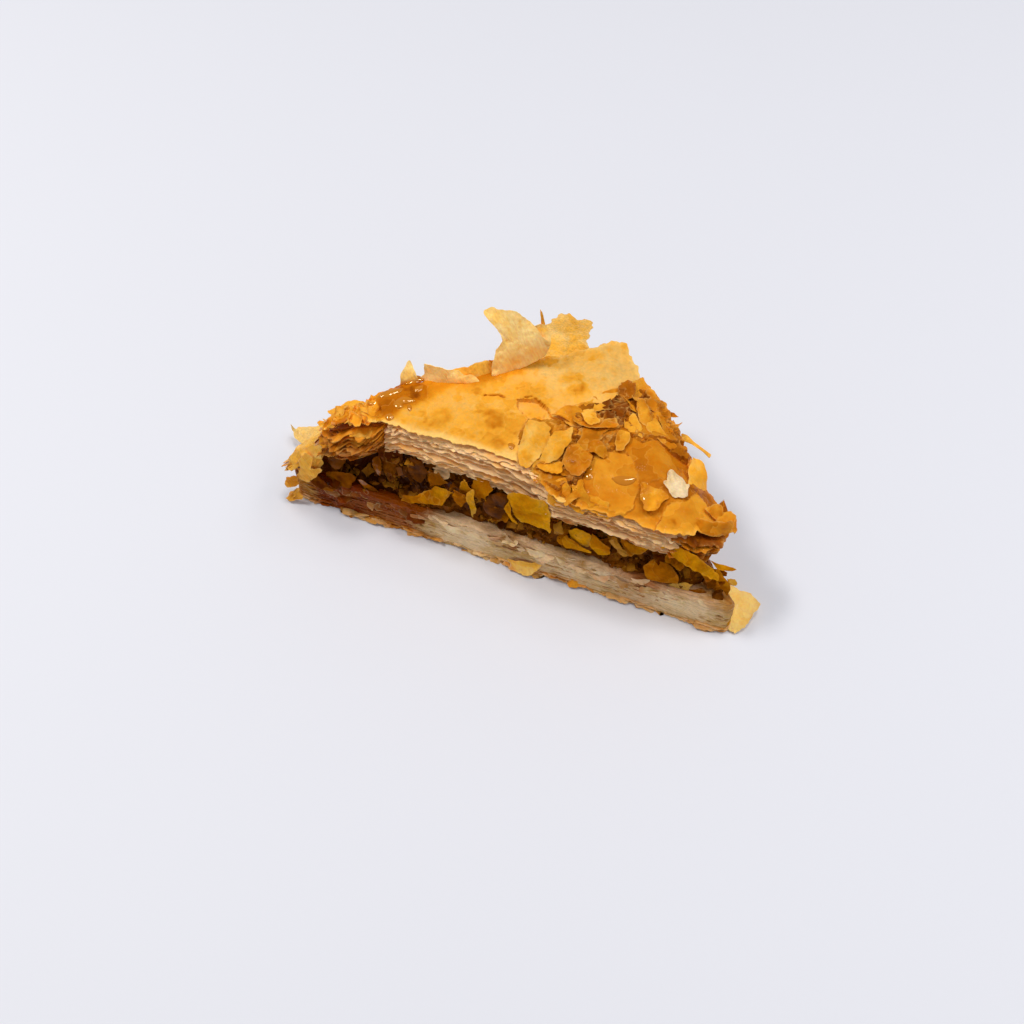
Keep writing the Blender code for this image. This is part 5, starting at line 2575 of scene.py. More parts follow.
@dataclass(frozen=True)
class FaceScraps:
    """The scraps of sheet and the larger nut pieces that show in the cut side."""

    sheet_seed: int = 300
    nut_seed: int = 400
    sheets: tuple[TornSheet, ...] = (
        torn(
            (-27, 0.2, 14.2), (-25.4, 0, 16.8), (-23.4, 0.4, 16.8), (-20.4, 1.4, 19), (-18, 2.4, 21.4),
            (-16, 2.4, 21.6), (-12.4, 1.4, 22), (-14, 1, 20.4), (-15.4, 0.4, 17.4), (-18, 0.4, 16.4),
            (-20, 0, 16), (-26.4, -0.2, 13.6),
            bake=0.5, tone=0.4, wet=0.6,
        ),
        torn(
            (1.4, 1.4, 29), (4.4, 0.8, 32), (7, 0.4, 31.2), (10.4, 0, 31.4), (12.4, -0.4, 29),
            (13, -0.8, 20.4), (10, -0.4, 20.4), (7, 0, 20.6), (5, 0, 19.6), (3, 0.8, 22),
            bake=0.36, tone=0.62, wet=0.5, puff=0.9, crease=0.3,
        ),
        torn(
            (0.4, 1, 23), (1.4, 1, 26.4), (2.4, 1, 23.4), (3.4, 0.4, 20), (4.4, 0, 18.6),
            (2.4, 0.4, 18.6),
            bake=0.4, tone=0.7, wet=0.5,
        ),
        torn(
            (-12, 1, 25), (-9.4, 1, 23.4), (-9, 1, 21.4), (-10.4, 1, 18.6), (-12.4, 1, 20),
            (-12.6, 1, 22.4),
            bake=0.62, tone=0.5, wet=0.7,
        ),
        torn(
            (-11, 2, 26.4), (-10, 2, 29), (-8.4, 2, 25.6), (-7.4, 2, 25.4), (-8, 2, 22), (-9.4, 2, 22),
            (-11, 2, 23.4),
            bake=0.5, tone=0.55, ragged=0.5,
        ),
        torn(
            (-8.4, 4, 29.4), (-4, 4, 29.4), (-3.4, 3, 26.4), (-4, 2.4, 24), (-4.4, 1.6, 21.4),
            (-5.4, 2, 22), (-6.4, 1.6, 20), (-7.4, 2.4, 22.4), (-8.4, 3, 25.4),
            bake=0.66, tone=0.5, ragged=0.5, wet=0.6,
        ),
        torn(
            (-9, 1, 25), (-7.4, 1, 26.4), (-7, 0.4, 23.4), (-6.4, 0, 20.4), (-7.2, -0.4, 17),
            (-7.8, -0.4, 15.4), (-7.8, 0, 19.4), (-8.6, 0.4, 21.6),
            bake=0.25, tone=0.25, wet=0.4, ragged=0.2, puff=0.5,
        ),
        torn(
            (-20.4, 4.4, 24.4), (-19.4, 4.4, 27), (-18, 4.4, 25), (-18.4, 4.4, 24), (-20.4, 4.4, 22),
            bake=0.8, tone=0.3, wet=0.7,
        ),
        torn(
            (-20, 3.4, 24), (-17, 3.4, 26.4), (-14.4, 3.4, 24), (-17, 3.4, 20), (-18.4, 3.4, 19.4),
            (-19.4, 3.4, 20.4),
            bake=0.75, tone=0.3, wet=0.8, puff=0.9,
        ),
        torn(
            (-16.4, 5, 24.4), (-13.4, 5, 25.6), (-13, 5, 21.4), (-14, 4, 18), (-15.4, 4.4, 21),
            bake=0.85, tone=0.3, wet=0.8,
        ),
        torn(
            (-34.4, 4, 23.4), (-33, 4, 24.6), (-32, 3.4, 22.4), (-32, 3, 19.4), (-33, 3, 17),
            (-34, 3.4, 20.4),
            bake=0.85, tone=0.25, wet=0.8,
        ),
        torn(
            (-33, 5, 27), (-29, 5.4, 29.4), (-26.4, 5, 28.4), (-27, 4.4, 24.4), (-28.4, 4, 21),
            (-30.4, 3.4, 16.4), (-32, 4, 18), (-32.6, 4.4, 22),
            bake=0.95, tone=0.2, wet=0.8, puff=0.8,
        ),
        torn(
            (-39, 2, 15), (-37, 2, 16.4), (-36, 2, 15), (-34, 2, 13.4), (-33, 2, 10.4), (-34, 2, 7.6),
            (-35, 2, 10.4), (-36.4, 2, 13.4), (-38, 2, 13),
            bake=0.7, tone=0.35, wet=0.8,
        ),
        torn(
            (-47.4, 2.4, 13.4), (-44.4, 2.4, 15.4), (-40.4, 2.4, 16), (-39.4, 2.4, 14.4),
            (-40.4, 1.4, 11.4), (-44, 1.4, 10.4), (-47.4, 2, 11.4),
            bake=0.75, tone=0.4, wet=0.8,
        ),
        torn(
            (-51, -0.4, 13.4), (-49, -0.2, 14.8), (-46.4, 0, 13.8), (-45.4, -0.2, 11.6),
            (-43.6, -0.2, 11), (-45.4, -0.6, 9), (-48, -0.6, 9.4), (-50.4, -0.6, 11),
            bake=0.85, tone=0.5, wet=0.8,
        ),
        torn(
            (15, 0.4, 18.4), (16.4, 0.4, 20), (19, 0, 18), (20.4, 0, 17.4), (23, -0.4, 17),
            (20, -0.4, 15.4), (16.4, 0, 15),
            bake=0.5, tone=0.6, wet=0.6,
        ),
        torn(
            (16.4, 1.4, 21), (18.4, 1.4, 24), (20, 1.4, 23.4), (22, 1.4, 21.4), (23.4, 1.2, 19.4),
            (21.4, 1, 16.6), (17.4, 1, 18),
            bake=0.25, tone=0.5, wet=0.5, puff=0.8,
        ),
        torn(
            (22.4, 1, 22), (24.4, 1, 22), (27, 1, 19.4), (27, 0.6, 16), (24.4, 0.6, 15.4),
            (22, 0.8, 18.4),
            bake=0.5, tone=0.5, wet=0.6, puff=0.8,
        ),
        torn(
            (29, 1, 24.4), (31.4, 1, 23.6), (35, 1, 24), (36.4, 1, 25), (36.4, 1, 23.4), (34.4, 0.6, 21),
            (31.4, 0.6, 20), (29.4, 0.8, 22),
            bake=0.55, tone=0.6, wet=0.6,
        ),
        torn(
            (35.4, 0, 18), (37.4, 0.2, 20.4), (42, 0.4, 20), (44.4, 0.4, 17.4), (44.4, 0, 14.4),
            (41, -0.4, 12.6), (37.4, -0.4, 12.6),
            bake=0.66, tone=0.5, wet=0.6, puff=1.3, ragged=0.15, crease=0.15,
        ),
        torn(
            (36.4, -0.4, 11.4), (40, -0.4, 10.4), (43.4, 0, 13), (46.4, 0, 15.4), (48.4, 0, 15.4),
            (47, -0.4, 11), (44, -0.4, 10.4), (39.4, -0.6, 9.4),
            bake=0, tone=0.4, wet=0.4,
        ),
        torn(
            (40, -0.4, 29), (43, -0.2, 29.6), (47, -0.2, 29), (50.4, -0.6, 26.4), (53.4, -0.8, 23),
            (53.4, -1, 21), (50.4, -1, 22.4), (46, -1, 24.4), (41.4, -1, 26),
            bake=0.42, tone=0.65, wet=0.6, puff=0.9, ribs=0.12, ragged=0.15,
        ),
        torn(
            (37, 0, 29), (37, 0.4, 32.4), (39.4, 0.4, 30), (40, -0.4, 27.4), (38, -0.4, 26),
            bake=0.45, tone=0.6, wet=0.6,
        ),
        torn(
            (46.4, 0.4, 11.4), (50, 0.4, 14), (52, 0.4, 11), (51.4, 0, 7.6), (48.4, -0.4, 7),
            (46.4, -0.4, 9.4),
            bake=0.8, tone=0.5, wet=0.8, puff=0.8, ragged=0.15,
        ),
        torn(
            (52, 2, 18.4), (52.4, 2, 22.4), (54, 2, 20), (56, 1.4, 17), (56.4, 1, 12.6), (54.4, 1, 15),
            (53.4, 1, 14), (53.4, 1.4, 18),
            bake=0.6, tone=0.5, wet=0.6,
        ),
        torn(
            (50, 2, 24.4), (53, 2, 24), (55.4, 2, 23.4), (57, 2, 23), (54.4, 1.4, 22.8), (52, 1.4, 22.8),
            bake=0.5, tone=0.6, ragged=0.15,
        ),
        torn(
            (55.4, 2, 18.4), (57, 2, 19), (57.6, 2, 18), (56.6, 2, 15.4), (56, 2, 16),
            bake=0.2, tone=0.7,
        ),
        torn(
            (54, -0.2, 6.4), (55.6, 0, 9), (58, 0, 7.4), (58.6, -0.2, 4), (57.4, -0.6, 0.8),
            (55, -0.6, 1.4),
            bake=0.55, tone=0.55, wet=0.4, puff=1.2, crease=0.4,
        ),
    )
    nuts: tuple[TornSheet, ...] = (
        torn(
            (-4, 3.4, 24.4), (-1.4, 3.4, 25.6), (0.6, 3.4, 25.4), (0.6, 3, 21), (-1, 2, 17), (-5, 2, 19),
            (-5.4, 2.4, 20),
            tone=0.2, puff=0.9, thick=1.2,
        ),
        torn(
            (26.4, 1, 23), (27.4, 1, 25), (29, 1, 22.6), (31.4, 1, 19.4), (32.4, 1, 18.4),
            (30.4, 0.8, 17.4), (28.4, 0.8, 20.4),
            tone=1.1, puff=0.6, thick=0.9, crease=0.35,
        ),
        torn(
            (12.4, 1, 22.4), (14.4, 1, 24), (15.6, 1, 20.4), (14.4, 1, 18.4), (13, 1, 18),
            tone=1.1, puff=0.6, thick=0.9, crease=0.3,
        ),
        torn(
            (52.4, 0.4, 9.4), (53.4, 1, 13), (55, 1, 15), (55.6, 0.4, 10.4), (54.4, 0, 8), (53, 0, 7),
            tone=0.3, puff=0.8, thick=1,
        ),
        torn(
            (-47, 4, 19.4), (-44.6, 4.4, 21.4), (-42.4, 4.4, 19.4), (-43.4, 3.6, 16.4), (-46, 3.6, 16),
            tone=0.5, puff=1, thick=1.2, crease=0.3,
        ),
        torn(
            (-25, 4.6, 27), (-21.4, 4.8, 28), (-20, 4.4, 24), (-21.6, 3.8, 20.4), (-24.4, 3.8, 22),
            tone=0.2, puff=1, thick=1.2, crease=0.3,
        ),
    )

    def skins(self) -> tuple[Skin, Skin]:
        """The sheets and the nuts, each kind as one."""
        return together(self.sheets, self.sheet_seed), together(self.nuts, self.nut_seed)


@dataclass(frozen=True)
class RaggedSide:
    """The torn sheets along the cut side: in the baked stack, among the nuts and on the pressed stack."""

    slab: Slab
    baked_inset: float = 2.2
    baked_below: float = 1.2
    filling_inset: float = 4.0
    pressed_inset: float = 0.5
    baked: tuple[Tatters, ...] = (
        Tatters(
            count=34, across=Span(-27, 4), height=Span(0, 0.85), behind=Span(0, 1.4), width=Span(5, 12),
            length=Span(0.8, 1.9), lean=Span(55, 88), bake=Span(-0.25, 0.2), seed=61, ragged=0.3,
            crease=0.3, tone=Span(0.5, 1.05), turn=Span(-8, 8), bend=0.4,
        ),
        Tatters(
            count=34, across=Span(4, 44), height=Span(0, 0.8), behind=Span(-0.2, 1.2), width=Span(5, 13),
            length=Span(0.8, 2), lean=Span(45, 88), bake=Span(-0.15, 0.3), seed=62, ragged=0.3,
            crease=0.3, tone=Span(0.45, 1), turn=Span(-8, 8), bend=0.4,
        ),
        Tatters(
            count=12, across=Span(-26, 3), height=Span(0, 0.35), behind=Span(0, 1), width=Span(3, 6),
            length=Span(1.6, 3.2), lean=Span(5, 40), bake=Span(-0.1, 0.25), seed=60, ragged=0.4,
            crease=0.35, tone=Span(0.35, 0.8), turn=Span(-20, 20),
        ),
    )
    corner: Frill = Frill(
        ((40, 0.5, 25.2), (44, 1.2, 24.4), (48, 2.6, 23.6), (50.5, 4.5, 24), (51, 8.5, 26), (50, 12, 28)),
        ((40, 0.6, 32), (44, 1.2, 31.4), (48.5, 2.2, 30.4), (51, 4.5, 30), (52, 9, 30), (51, 12.5, 30.5)),
        sheets=12, outward=(0.5, -0.85, 0), reach=Span(0, 1.6), bake=Span(0.45, 0.9), seed=84,
        flutter=0.9, ragged=0.45, depth=3, wet=Span(0.4, 0.7), tone=Span(0.3, 0.8),
    )
    frills: tuple[Frill, ...] = (
        Frill(
            ((-31, 4.6, 28), (-27, 4.5, 29), (-20, 4.2, 29), (-13, 4, 27.6), (0, 3.5, 26.4), (5, 2.9, 26),
             (9, 1.7, 26), (13, 0.2, 26.2)),
            ((-31, 5.2, 35.6), (-27, 5.2, 36.4), (-20, 5, 36.6), (-13, 4.8, 36.6), (0, 4.3, 36.6),
             (5, 3.6, 36.2), (9, 2.4, 35.4), (13, 0.8, 34.4)),
            sheets=21, outward=(0.05, -1, 0), reach=Span(-0.5, 1), bake=Span(-0.35, 0.2), seed=85,
            flutter=0.6, ragged=0.3, depth=3, wet=Span(0, 0.2), tone=Span(0.65, 1.25),
        ),
        Frill(
            ((11, 0.3, 26.6), (20, -0.2, 26.8), (30, -0.5, 26.8), (38, -0.6, 26), (44, 0.8, 24.6)),
            ((11, 0.9, 34.4), (20, 0.4, 34), (30, 0.1, 33.8), (38, -0.1, 33.4), (44, 1.7, 32.4)),
            sheets=17, outward=(0.05, -1, 0), reach=Span(-0.5, 0.9), bake=Span(-0.1, 0.6), seed=86,
            flutter=0.55, ragged=0.3, depth=3, wet=Span(0, 0.35), tone=Span(0.35, 1),
        ),
        Frill(
            ((-30, 5.2, 36.4), (-20, 4.9, 36.6), (-10, 4.6, 36.6), (0, 4.2, 36.6), (5, 3.5, 36.2),
             (9, 2.2, 35.2)),
            ((-30, 5.2, 37.2), (-20, 4.9, 37.4), (-10, 4.6, 37.4), (0, 4.2, 37.4), (5, 3.5, 37),
             (9, 2.2, 36)),
            sheets=3, outward=(0.05, -1, 0), reach=Span(-0.5, 0.4), bake=Span(-0.1, 0.2), seed=87,
            flutter=0.5, ragged=0.5, depth=2, wet=Span(0.1, 0.3), tone=Span(0.7, 1.1),
        ),
    )
    filling: tuple[Tatters, ...] = (
        Tatters(
            count=16, across=Span(-30, 0), height=Span(0.1, 0.9), behind=Span(0.8, 2.8), width=Span(3, 6),
            length=Span(2.5, 5), lean=Span(-10, 60), bake=Span(0.65, 1.1), seed=64, wet=Span(0.5, 0.8),
            turn=Span(-60, 60), tone=Span(0.1, 0.6), ragged=0.45,
        ),
        Tatters(
            count=28, across=Span(10, 54), height=Span(0.1, 0.9), behind=Span(-0.6, 1.6),
            width=Span(3, 7), length=Span(2, 4.5), lean=Span(-10, 70), bake=Span(0.4, 1), seed=65,
            wet=Span(0.4, 0.8), turn=Span(-50, 50), tone=Span(0.2, 0.8), ragged=0.45,
        ),
        Tatters(
            count=10, across=Span(-47, -30), height=Span(0, 0.8), behind=Span(-0.5, 4), width=Span(2, 5),
            length=Span(2.5, 6), lean=Span(-30, 60), bake=Span(0.7, 1.1), seed=66, wet=Span(0.5, 0.85),
            turn=Span(-60, 60), tone=Span(0.1, 0.6), ragged=0.3,
        ),
    )
    pressed: tuple[Tatters, ...] = (
        Tatters(
            count=34, across=Span(-22, 52), height=Span(0.72, 0.98), behind=Span(-0.2, 0.8),
            width=Span(3, 8), length=Span(0.8, 2.2), lean=Span(-20, 50), bake=Span(-0.1, 0.35), seed=67,
            ragged=0.35, crease=0.22, tone=Span(0.4, 0.9),
        ),
        Tatters(
            count=12, across=Span(-52, -22), height=Span(0.5, 1), behind=Span(-0.2, 0.8),
            width=Span(3, 7), length=Span(1, 2.6), lean=Span(0, 60), bake=Span(0.3, 0.8), seed=68,
            ragged=0.35, crease=0.25, wet=Span(0.5, 0.85), tone=Span(0.2, 0.6),
        ),
    )
    base: tuple[Tatters, ...] = (
        Tatters(
            count=34, across=Span(-44, 55), height=Span(0.03, 0.09), behind=Span(-0.1, 0.6),
            width=Span(3, 9), length=Span(0.8, 1.9), lean=Span(62, 82), bake=Span(0.05, 0.5), seed=69,
            ragged=0.35, crease=0.15, bend=0.2,
        ),
    )

    def stacked(
        self, groups: Sequence[Tatters], inset: float, low: Heights, high: Heights, baked: bool = False
    ) -> Skin:
        """Some groups of tatters in one layer, as one.

        Args:
            groups: the groups.
            inset: how far in the layer's side lies.
            low: the height of the layer's foot.
            high: the height of its top.
            baked: whether it follows the broken crust.

        Returns:
            The tatters.
        """
        skins: list[Skin] = []
        for group in groups:
            skins += group.skins(lambda x: self.slab.front(x, inset, baked), low, high)
        return joined(skins)

    def in_crust(self) -> Skin:
        """The tatters between the baked sheets."""
        inset, low = self.baked_inset, self.slab.crust_underside
        return self.stacked(
            self.baked, inset, low, lambda at: self.slab.crust_top(at) - self.baked_below, baked=True
        )

    def in_filling(self) -> Skin:
        """The tatters among the nuts."""
        low, high = level_at(self.slab.pressed), self.slab.filling_top
        return self.stacked(self.filling, self.filling_inset, low, high)

    def on_pressed(self, groups: Sequence[Tatters]) -> Skin:
        """Tatters along the pressed sheets."""
        return self.stacked(groups, self.pressed_inset, level_at(0.0), self.slab.pressed_top)

    def along_front(self) -> Skin:
        """The frills of the baked sheets along the cut side."""
        return joined([skin for frill in self.frills for skin in frill.skins()])


@dataclass(frozen=True)
class LeftTip:
    """The sheets that run from the crust's left end down to the pressed tip."""

    first_seed: int = 700
    frills: tuple[Frill, ...] = (
        Frill(
            ((-48.5, 2.5, 21), (-46, 2, 23.5), (-42, 2, 26), (-38, 2, 27.5), (-34, 3, 29),
             (-31, 4.5, 31.5)),
            ((-47, 3, 24.5), (-44, 2.5, 27), (-41, 2, 29), (-38, 2, 30), (-34, 3, 31.5), (-31, 4.5, 33)),
            sheets=5, outward=(-0.25, -0.9, -0.2), reach=Span(0.2, 1.8), bake=Span(0.55, 0.95), seed=81,
            flutter=1.2, ragged=0.5, depth=3.5, wet=Span(0.4, 0.7), tone=Span(0.3, 0.8),
        ),
        Frill(
            ((-48, 3, 25), (-45, 1.5, 27.5), (-41, 1, 29), (-38, 1, 30), (-35, 1.5, 31),
             (-31.5, 3.5, 32.5)),
            ((-47, 4.5, 29), (-44, 3, 31.6), (-41, 2, 33.8), (-38, 1.8, 35), (-35, 2.2, 35.4),
             (-31.5, 4, 36.2)),
            sheets=8, outward=(-0.3, -0.9, -0.1), reach=Span(-0.5, 1.8), bake=Span(0.3, 0.85), seed=82,
            flutter=1.6, ragged=0.7, depth=4.5, wet=Span(0.4, 0.7), tone=Span(0.35, 0.9),
        ),
    )
    down_to_tip: Frill = Frill(
        ((-59, 1.5, 10.5), (-56.5, 1, 12), (-53.5, 1.5, 15), (-50.5, 2, 18), (-48, 3, 20)),
        ((-59, 3, 13), (-56, 3, 16), (-52.5, 3.5, 20), (-49, 4, 24), (-46.5, 5, 26.5)),
        sheets=5, outward=(-0.3, -0.8, 0.3), reach=Span(0.2, 1.2), bake=Span(0, 0.5), seed=83,
        flutter=0.8, depth=3,
    )
    sheets: tuple[TornSheet, ...] = (
        torn(
            (-53, 3.5, 10.5), (-53.5, 3, 16), (-50, 5.5, 22.5), (-46, 8, 28), (-40, 11.5, 31),
            (-34, 15, 32), (-32, 16.5, 28), (-34, 15, 20), (-36, 14, 10.5), (-46, 8, 10.5),
            bake=0.9, tone=0.35, wet=0.6, puff=0.4, crease=0.5,
        ),
        torn(
            (-58, 2, 13), (-58.5, 1.4, 11.5), (-56.5, 0.8, 12.5), (-54.5, 0.8, 15), (-52, 1, 20),
            (-50.5, 1, 18), (-50.5, 1, 15), (-48, 1.2, 15.5), (-47.5, 1.6, 18.5), (-46.8, 2.4, 24.5),
            (-46.5, 3.4, 27), (-49.5, 3, 24.5), (-52, 2.6, 22), (-55, 2.4, 18.5), (-57.5, 2.2, 14.5),
            bake=0.3, tone=0.75, wet=0.3, puff=0.5, crease=0.35,
        ),
        torn(
            (-58.5, 3.6, 12.5), (-56, 3, 15.5), (-53, 3, 19.5), (-50, 3.2, 23), (-47, 3.8, 26),
            (-46, 6, 28), (-49, 6.6, 24), (-53, 5.6, 19), (-57, 4.6, 14),
            bake=0.28, tone=0.75, wet=0.3, puff=0.6, crease=0.4,
        ),
        torn(
            (-57, 1.6, 12), (-54.5, 1.4, 16.5), (-52, 1.4, 20), (-49, 1.6, 22), (-47, 2, 23.5),
            (-47.5, 1.6, 19), (-50, 1.2, 16), (-53, 1, 12.5), (-55.5, 0.9, 11),
            bake=0.45, tone=0.6, wet=0.4, puff=0.4, crease=0.4,
        ),
        torn(
            (-53, 0.8, 19), (-51, 0.6, 22.5), (-49.5, 0.7, 20.5), (-50, 0.4, 17), (-47.5, 0.4, 18),
            (-47, 0.3, 17), (-48.5, 0, 15), (-49, 0, 14), (-51.5, -0.2, 11), (-52.5, -0.3, 9.5),
            (-55, -0.2, 9.5), (-55, 0, 11.5), (-53.5, 0.4, 15),
            bake=0.4, tone=0.85, wet=0.3, puff=0.7, crease=0.25, ragged=0.3,
        ),
        torn(
            (-59, -0.2, 7), (-58, 0, 9.4), (-56, 0.4, 11), (-55, 0.6, 10.5), (-55.4, 0.2, 7),
            (-58, -0.2, 6),
            bake=0.5, tone=0.75, wet=0.4, puff=0.6, crease=0.3,
        ),
        torn(
            (-59.5, -1, 0.8), (-58, -0.6, 3), (-55.5, -0.2, 5.5), (-54, -0.2, 3.5), (-54.5, -0.4, 2),
            (-57, -1, 0.8), (-58, -1.4, 0.4),
            bake=0.5, tone=0.75, wet=0.4, puff=0.5, crease=0.3,
        ),
    )

    def skin(self) -> Skin:
        """The loose sheets as one, with the frill down to the pressed tip."""
        return joined([together(self.sheets, self.first_seed), *self.down_to_tip.skins()])

    def soaked(self) -> Skin:
        """The wet, browned edges of the crust over the tip."""
        return joined([skin for frill in self.frills for skin in frill.skins()])


@dataclass(frozen=True)
class TornLeaves:
    """The torn ends of the top sheet that stand up at the back, hang out behind and lie by the tips."""

    leaf_seed: int = 500
    lip_seed: int = 600
    leaves: tuple[TornSheet, ...] = (
        torn(
            (-11.4, 25.6, 36.8), (-12.2, 28.4, 41), (-11.6, 30, 44), (-10.2, 31.4, 46.4),
            (-11.6, 31.6, 49), (-12.2, 32, 51), (-13.8, 31.8, 51.8), (-15.4, 32.6, 52.8),
            (-13.6, 33.4, 54), (-12, 33, 53.8), (-9.6, 34, 54.2), (-8, 34.4, 54), (-3.6, 35, 50),
            (-1, 35, 47.5), (0.5, 34.6, 45), (-0.5, 33.8, 42), (-2.5, 32.5, 40), (-5.5, 30.5, 38.6),
            (-8.5, 28, 37.2),
            bake=0.04, tone=1.1, wet=0.1, puff=1.2, crease=0.2, ragged=0.22,
        ),
        torn(
            (-3.6, 35, 50.2), (-2, 36, 50.2), (0, 35.6, 48), (1, 34.8, 46), (0, 34.2, 43),
            (-1.6, 33.4, 42), (-3, 33.6, 43.6), (-4, 33.4, 46.6), (-5.4, 33.6, 49),
            bake=0.16, tone=0.75, wet=0.1, puff=0.9, crease=0.2,
        ),
        torn(
            (-3.2, 37.4, 53.6), (-2.5, 37, 53), (-1.4, 36.4, 49), (-1, 36.4, 46.4), (-2.4, 36, 47),
            (-2.6, 36.6, 50),
            bake=0.35, tone=0.7, wet=0.1, ragged=0.08, puff=0.2, crease=0.05,
        ),
        torn(
            (-25.6, 19.2, 36.6), (-27.6, 19.8, 38), (-26.6, 21, 40), (-26.8, 21.6, 43), (-25, 21.6, 43.4),
            (-23, 22, 42.8), (-21, 22.2, 41.8), (-18.4, 23, 41.2), (-17.4, 22.8, 40), (-15, 24, 39.4),
            (-13.4, 23.8, 38), (-18, 22.4, 37), (-22.4, 20.6, 36.8),
            bake=0.04, tone=1.2, wet=0.1, puff=0.7, crease=0.2,
        ),
        torn(
            (-31.4, 16.8, 36.4), (-31.8, 18.4, 40), (-30, 20.6, 43), (-28.2, 19.8, 39.4),
            (-27.8, 19.6, 37), (-29.6, 17.6, 36.2),
            bake=0.14, tone=0.8, wet=0.2, puff=0.9, ragged=0.15,
        ),
        torn(
            (-12.6, 25.6, 37), (-17.6, 23.6, 37.2), (-24, 21.4, 37), (-23, 23.6, 37.8), (-17, 26.4, 39.4),
            (-13.4, 28.6, 40.6), (-11.4, 28.4, 39),
            bake=0.3, tone=0.6, wet=0.3, puff=0.4,
        ),
        torn(
            (-4.4, 33, 34.2), (-5.2, 40, 35), (-5.4, 44, 35.2), (-4.4, 47, 35), (-4.6, 51, 33.4),
            (-3.4, 54.6, 32.6), (-1, 56, 32.4), (1.4, 55, 32.2), (3, 56.4, 31.8), (5.2, 55.4, 31.6),
            (6, 50, 33.8), (7, 45, 35), (8, 38, 34.2),
            bake=0.25, tone=0.35, wet=0.3, puff=0.5, crease=0.4, ragged=0.5,
        ),
        torn(
            (-46.6, 7, 33), (-41.4, 10.4, 34.6), (-36.4, 11.4, 35.4), (-38, 8.4, 35.4),
            (-41.4, 6.4, 34.6), (-43.6, 5.6, 33.6),
            bake=0.34, tone=0.7, wet=0.6, ragged=0.35,
        ),
        torn(
            (-48, 5.6, 32), (-43.4, 5.6, 33.4), (-40.4, 5.4, 34.4), (-40.4, 2.4, 34), (-42.4, 2, 33.4),
            (-45.4, 4, 32),
            bake=0.36, tone=0.7, wet=0.5, ragged=0.35,
        ),
        torn(
            (-66, 18.6, 5.6), (-64.8, 17.4, 3.6), (-63.4, 19.4, 3.6), (-58.4, 21.4, 4), (-52, 20, 4),
            (-46, 9, 3), (-52, 9, 2.6), (-58, 13.4, 2.6), (-63.6, 16, 3),
            bake=0.04, tone=0.5, wet=0.4, ragged=0.3,
        ),
        torn(
            (48, 8, 1.6), (55, 10, 2.4), (59, 9, 2.6), (61, 9.5, 2.4), (64.5, 7, 2), (64, 3, 1.3),
            (62.5, 0.5, 1.2), (60.5, -2, 0.8), (59, -1, 0.6), (56, 0, 1), (50, 3, 1.2),
            bake=0.02, tone=0.85, wet=0.4, ragged=0.35, crease=0.35, puff=1,
        ),
        torn(
            (35.2, 30.4, 30), (37, 30.2, 30), (39, 29, 29.6), (41.4, 28.2, 29.2), (43.6, 27.6, 28.8),
            (43.4, 26.2, 28.8), (42.4, 27, 29), (40.4, 27.6, 29.4), (38.4, 28.2, 29.8), (36, 28.6, 30),
            bake=0.36, tone=0.7, ragged=0.06, puff=0.2, crease=0.08,
        ),
        torn(
            (1.4, -0.8, 2.4), (5, -0.8, 4.8), (10.4, -0.8, 4.4), (9.4, -1.6, 2), (7.6, -2.4, 0.6),
            (4.4, -2, 0.5),
            bake=0.26, tone=0.75, wet=0.2, puff=0.6,
        ),
        torn(
            (17, -0.6, 0.5), (19, -0.6, 1.6), (21.4, -0.8, 1.4), (21, -1.8, 0.5), (18.6, -2.2, 0.4),
            bake=0.55, tone=0.55, wet=0.4,
        ),
        torn(
            (-59.2, -0.2, 1), (-57, 0.2, 4), (-54.4, 0, 7), (-55.4, -0.6, 3.4), (-57.4, -1, 0.6),
            (-59, -1, 0.5),
            bake=0.42, tone=0.65, wet=0.6, puff=0.5,
        ),
    )
    lips: tuple[TornSheet, ...] = (
        torn(
            (11.4, 4, 35.6), (14, 5.4, 36.2), (15.6, 3.4, 36.2), (16.6, 0.8, 35), (16.4, -0.2, 32),
            (14, -0.4, 31.6), (11.4, 0, 32.4), (10.8, 1.4, 34.4),
            bake=0.4, tone=0.6, wet=0.7, puff=0.7,
        ),
        torn(
            (15.4, 5, 36), (17.6, 6, 36.4), (19.6, 2.6, 36.4), (21.4, 0, 34.6), (20.2, -0.8, 32.4),
            (18.4, -0.6, 32.8), (16.4, 0, 33),
            bake=0.28, tone=0.5, wet=0.7, puff=0.5,
        ),
        torn(
            (19.4, 2.6, 36), (22, 2.8, 36.4), (25.4, 2.2, 36.4), (26, 0, 34.2), (25.8, -0.6, 33.2),
            (22.4, -0.4, 33.6), (21.4, -0.2, 33.6),
            bake=0.3, tone=0.6, wet=0.6, puff=0.4,
        ),
        torn(
            (44.6, 5.6, 34.6), (47.6, 5.4, 34.6), (51, 6.2, 34.2), (53, 8, 33.6), (53, 5.4, 31.6),
            (50, 3.6, 31.8), (46.4, 3, 32.4), (44, 3.4, 33),
            bake=0.5, tone=0.6, wet=0.4, puff=0.6,
        ),
        torn(
            (39.6, 20.6, 35.4), (42, 20.4, 34.6), (43.6, 18.6, 33), (44.8, 16, 31.4), (45, 13, 31),
            (44, 9.6, 32), (42, 10, 34.6), (40.4, 13, 35.6), (39.4, 17, 35.8),
            bake=0.25, tone=0.8, wet=0.5, puff=0.9, ragged=0.12, crease=0.12,
        ),
    )

    def skins(self) -> tuple[Skin, Skin]:
        """The leaves, and the sheets that hang over the crust's edge, each kind as one."""
        return together(self.leaves, self.leaf_seed), together(self.lips, self.lip_seed)


# --- the studio -------------------------------------------------------------------------------------


